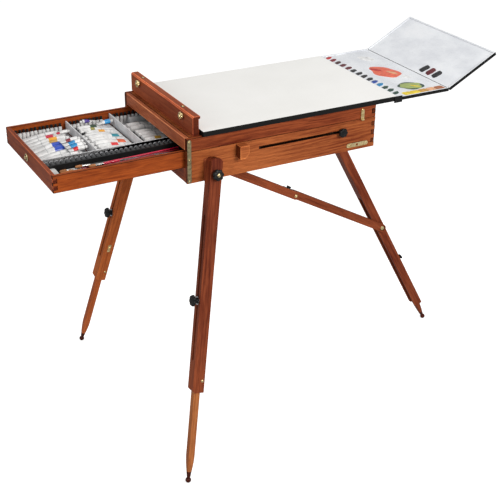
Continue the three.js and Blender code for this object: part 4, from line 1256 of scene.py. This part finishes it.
def leg_axis(joint_name):
    return Vector(JOINTS[joint_name]["axis"]).normalized()


def stay_axis(node):
    low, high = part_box(node)
    return unit(0, high.y - low.y, low.z - high.z)


# node, tone, way of the grain, edges: the painted light on its edges, a highlight on most and painted
# shade in the seams on "dark" ones
WOOD_NODES = [
    ("box_back", "side", X, "dark"), ("box_front_rail", "front", X, "rubbed"),
    ("box_bottom", "pale", Y, "dark"), ("rear_leg_bracket", "leg", Y, "rubbed"),
    ("stay_bracket", "leg", Z, "rubbed"), ("lid_front_rail", "rail", X, "bright"),
    ("lid_back_rail", "side", X, "dark"), ("lid_panel", "side", Y, "dark"),
    ("mast", "leg", Y, "rubbed"), ("tray_bar", "front", X, "bright"),
    ("drawer_front", "front", X, "rubbed"), ("drawer_back", "front", X, "rubbed"),
    ("drawer_bottom", "pale", Y, "dark"),
    ("rear_leg_upper", "leg", leg_axis("rear_leg_extend"), "plain"),
    ("stay_upper", "leg", stay_axis("stay_upper"), "rubbed"),
    ("stay_lower", "leg", stay_axis("stay_lower"), "rubbed"),
]
# the left front leg takes the bright orange tone: painted light that lifts it out of the box's shade
for side, leg_tone in (("right", "leg"), ("left", "orange")):
    down = leg_axis(f"front_leg_{side}_extend")
    WOOD_NODES += [
        (f"box_side_{side}", "side", Y, "dark"), (f"lid_side_{side}", "lid", Y, "dark"),
        (f"leg_wedge_{side}", "leg", Z, "rubbed"), (f"leg_stop_{side}", "side", Y, "rubbed"),
        (f"drawer_side_{side}", "drawer", Y, "dark"),
        (f"front_leg_upper_{side}", leg_tone, down, "bright"),
    ]
for index, (node, tone, grain, edges) in enumerate(WOOD_NODES):
    painted_light_factor, width = EDGE_LIGHT_AND_SHADE[edges]
    slotted = node.startswith("box_side")
    plain = wood(node + "_wood", tone, grain, index, slotted=slotted)
    # the bevels get a copy of the wood scaled by the edge factor: painted highlight, and painted shade
    # on the dark edges
    edge = wood(node + "_edge_painted_light", tone, grain, index, painted_light_factor, slotted=slotted)
    dress(node, [plain, edge], width * MM, 1)

dress("stay_bolt", [BRASS], 0.0003)
for side in SIDES:
    dress(f"hinge_strap_{side}", [AGED_BRASS], 0.0004)
    for node in (f"catch_plate_{side}", f"latch_{side}", f"stay_arm_{side}", f"slot_bolt_{side}"):
        dress(node, [BRASS], 0.0003)

dress("drawing_board", [board_surface()], 0.0006)
dress("palette_pan", [palette_surface("palette_pan", Z)], 0.0005)
dress("palette_lid", [palette_surface("palette_lid", LID_UP)], 0.0005)
dress("palette_clip", [BLACK], 0.0005)
dress("stay_button", [BLACK], 0.0004)
DIVIDER = plastic("divider_white", (0.74, 0.74, 0.75), (0.35, 0.5), 500, 0.1)
dress("drawer_dividers", [DIVIDER], 0.0004)

KNOB_PARTS = [BLACK, BRASS, GROOVE_SHADE, STEEL]
for side in SIDES:
    star_knob(f"slot_knob_{side}", f"slot_knob_{side}_turn")
    star_knob(f"leg_pivot_knob_{side}", f"leg_pivot_knob_{side}_turn", screw_head=True)
    star_knob(f"front_clamp_knob_{side}", f"front_clamp_{side}_turn", washer=True)
    thumb_knob(f"tray_knob_{side}")
star_knob("rear_clamp_knob", "rear_clamp_turn")
DARK_FOOT = wood("foot_wood", "dark", Z, 91, polish=0.12)
for side, tone in (("right", "pale"), ("left", "ruddy")):
    grain = leg_axis(f"front_leg_{side}_extend")
    bar_wood = wood(f"front_leg_lower_{side}_wood", tone, grain, 60)
    lower_leg(f"front_leg_lower_{side}", f"front_leg_{side}_extend", f"front_clamp_{side}_turn",
              f"front_lower_leg_{side}", [bar_wood, DARK_FOOT])
lower_leg("rear_leg_lower", "rear_leg_extend", "rear_clamp_turn", "rear_lower_leg",
          [wood("rear_leg_lower_wood", "leg", leg_axis("rear_leg_extend"), 61), DARK_FOOT])

for side, sign in (("right", 1), ("left", -1)):
    side_screws(side, sign)
    leg_metal(side)
stay_metal()
tray_inserts()
bracket_screws()
drawer_catch()

tube_liner()
all_tubes()
drawing_sticks()
brush_shade_trough()
brush_compartment()
dried_paint()
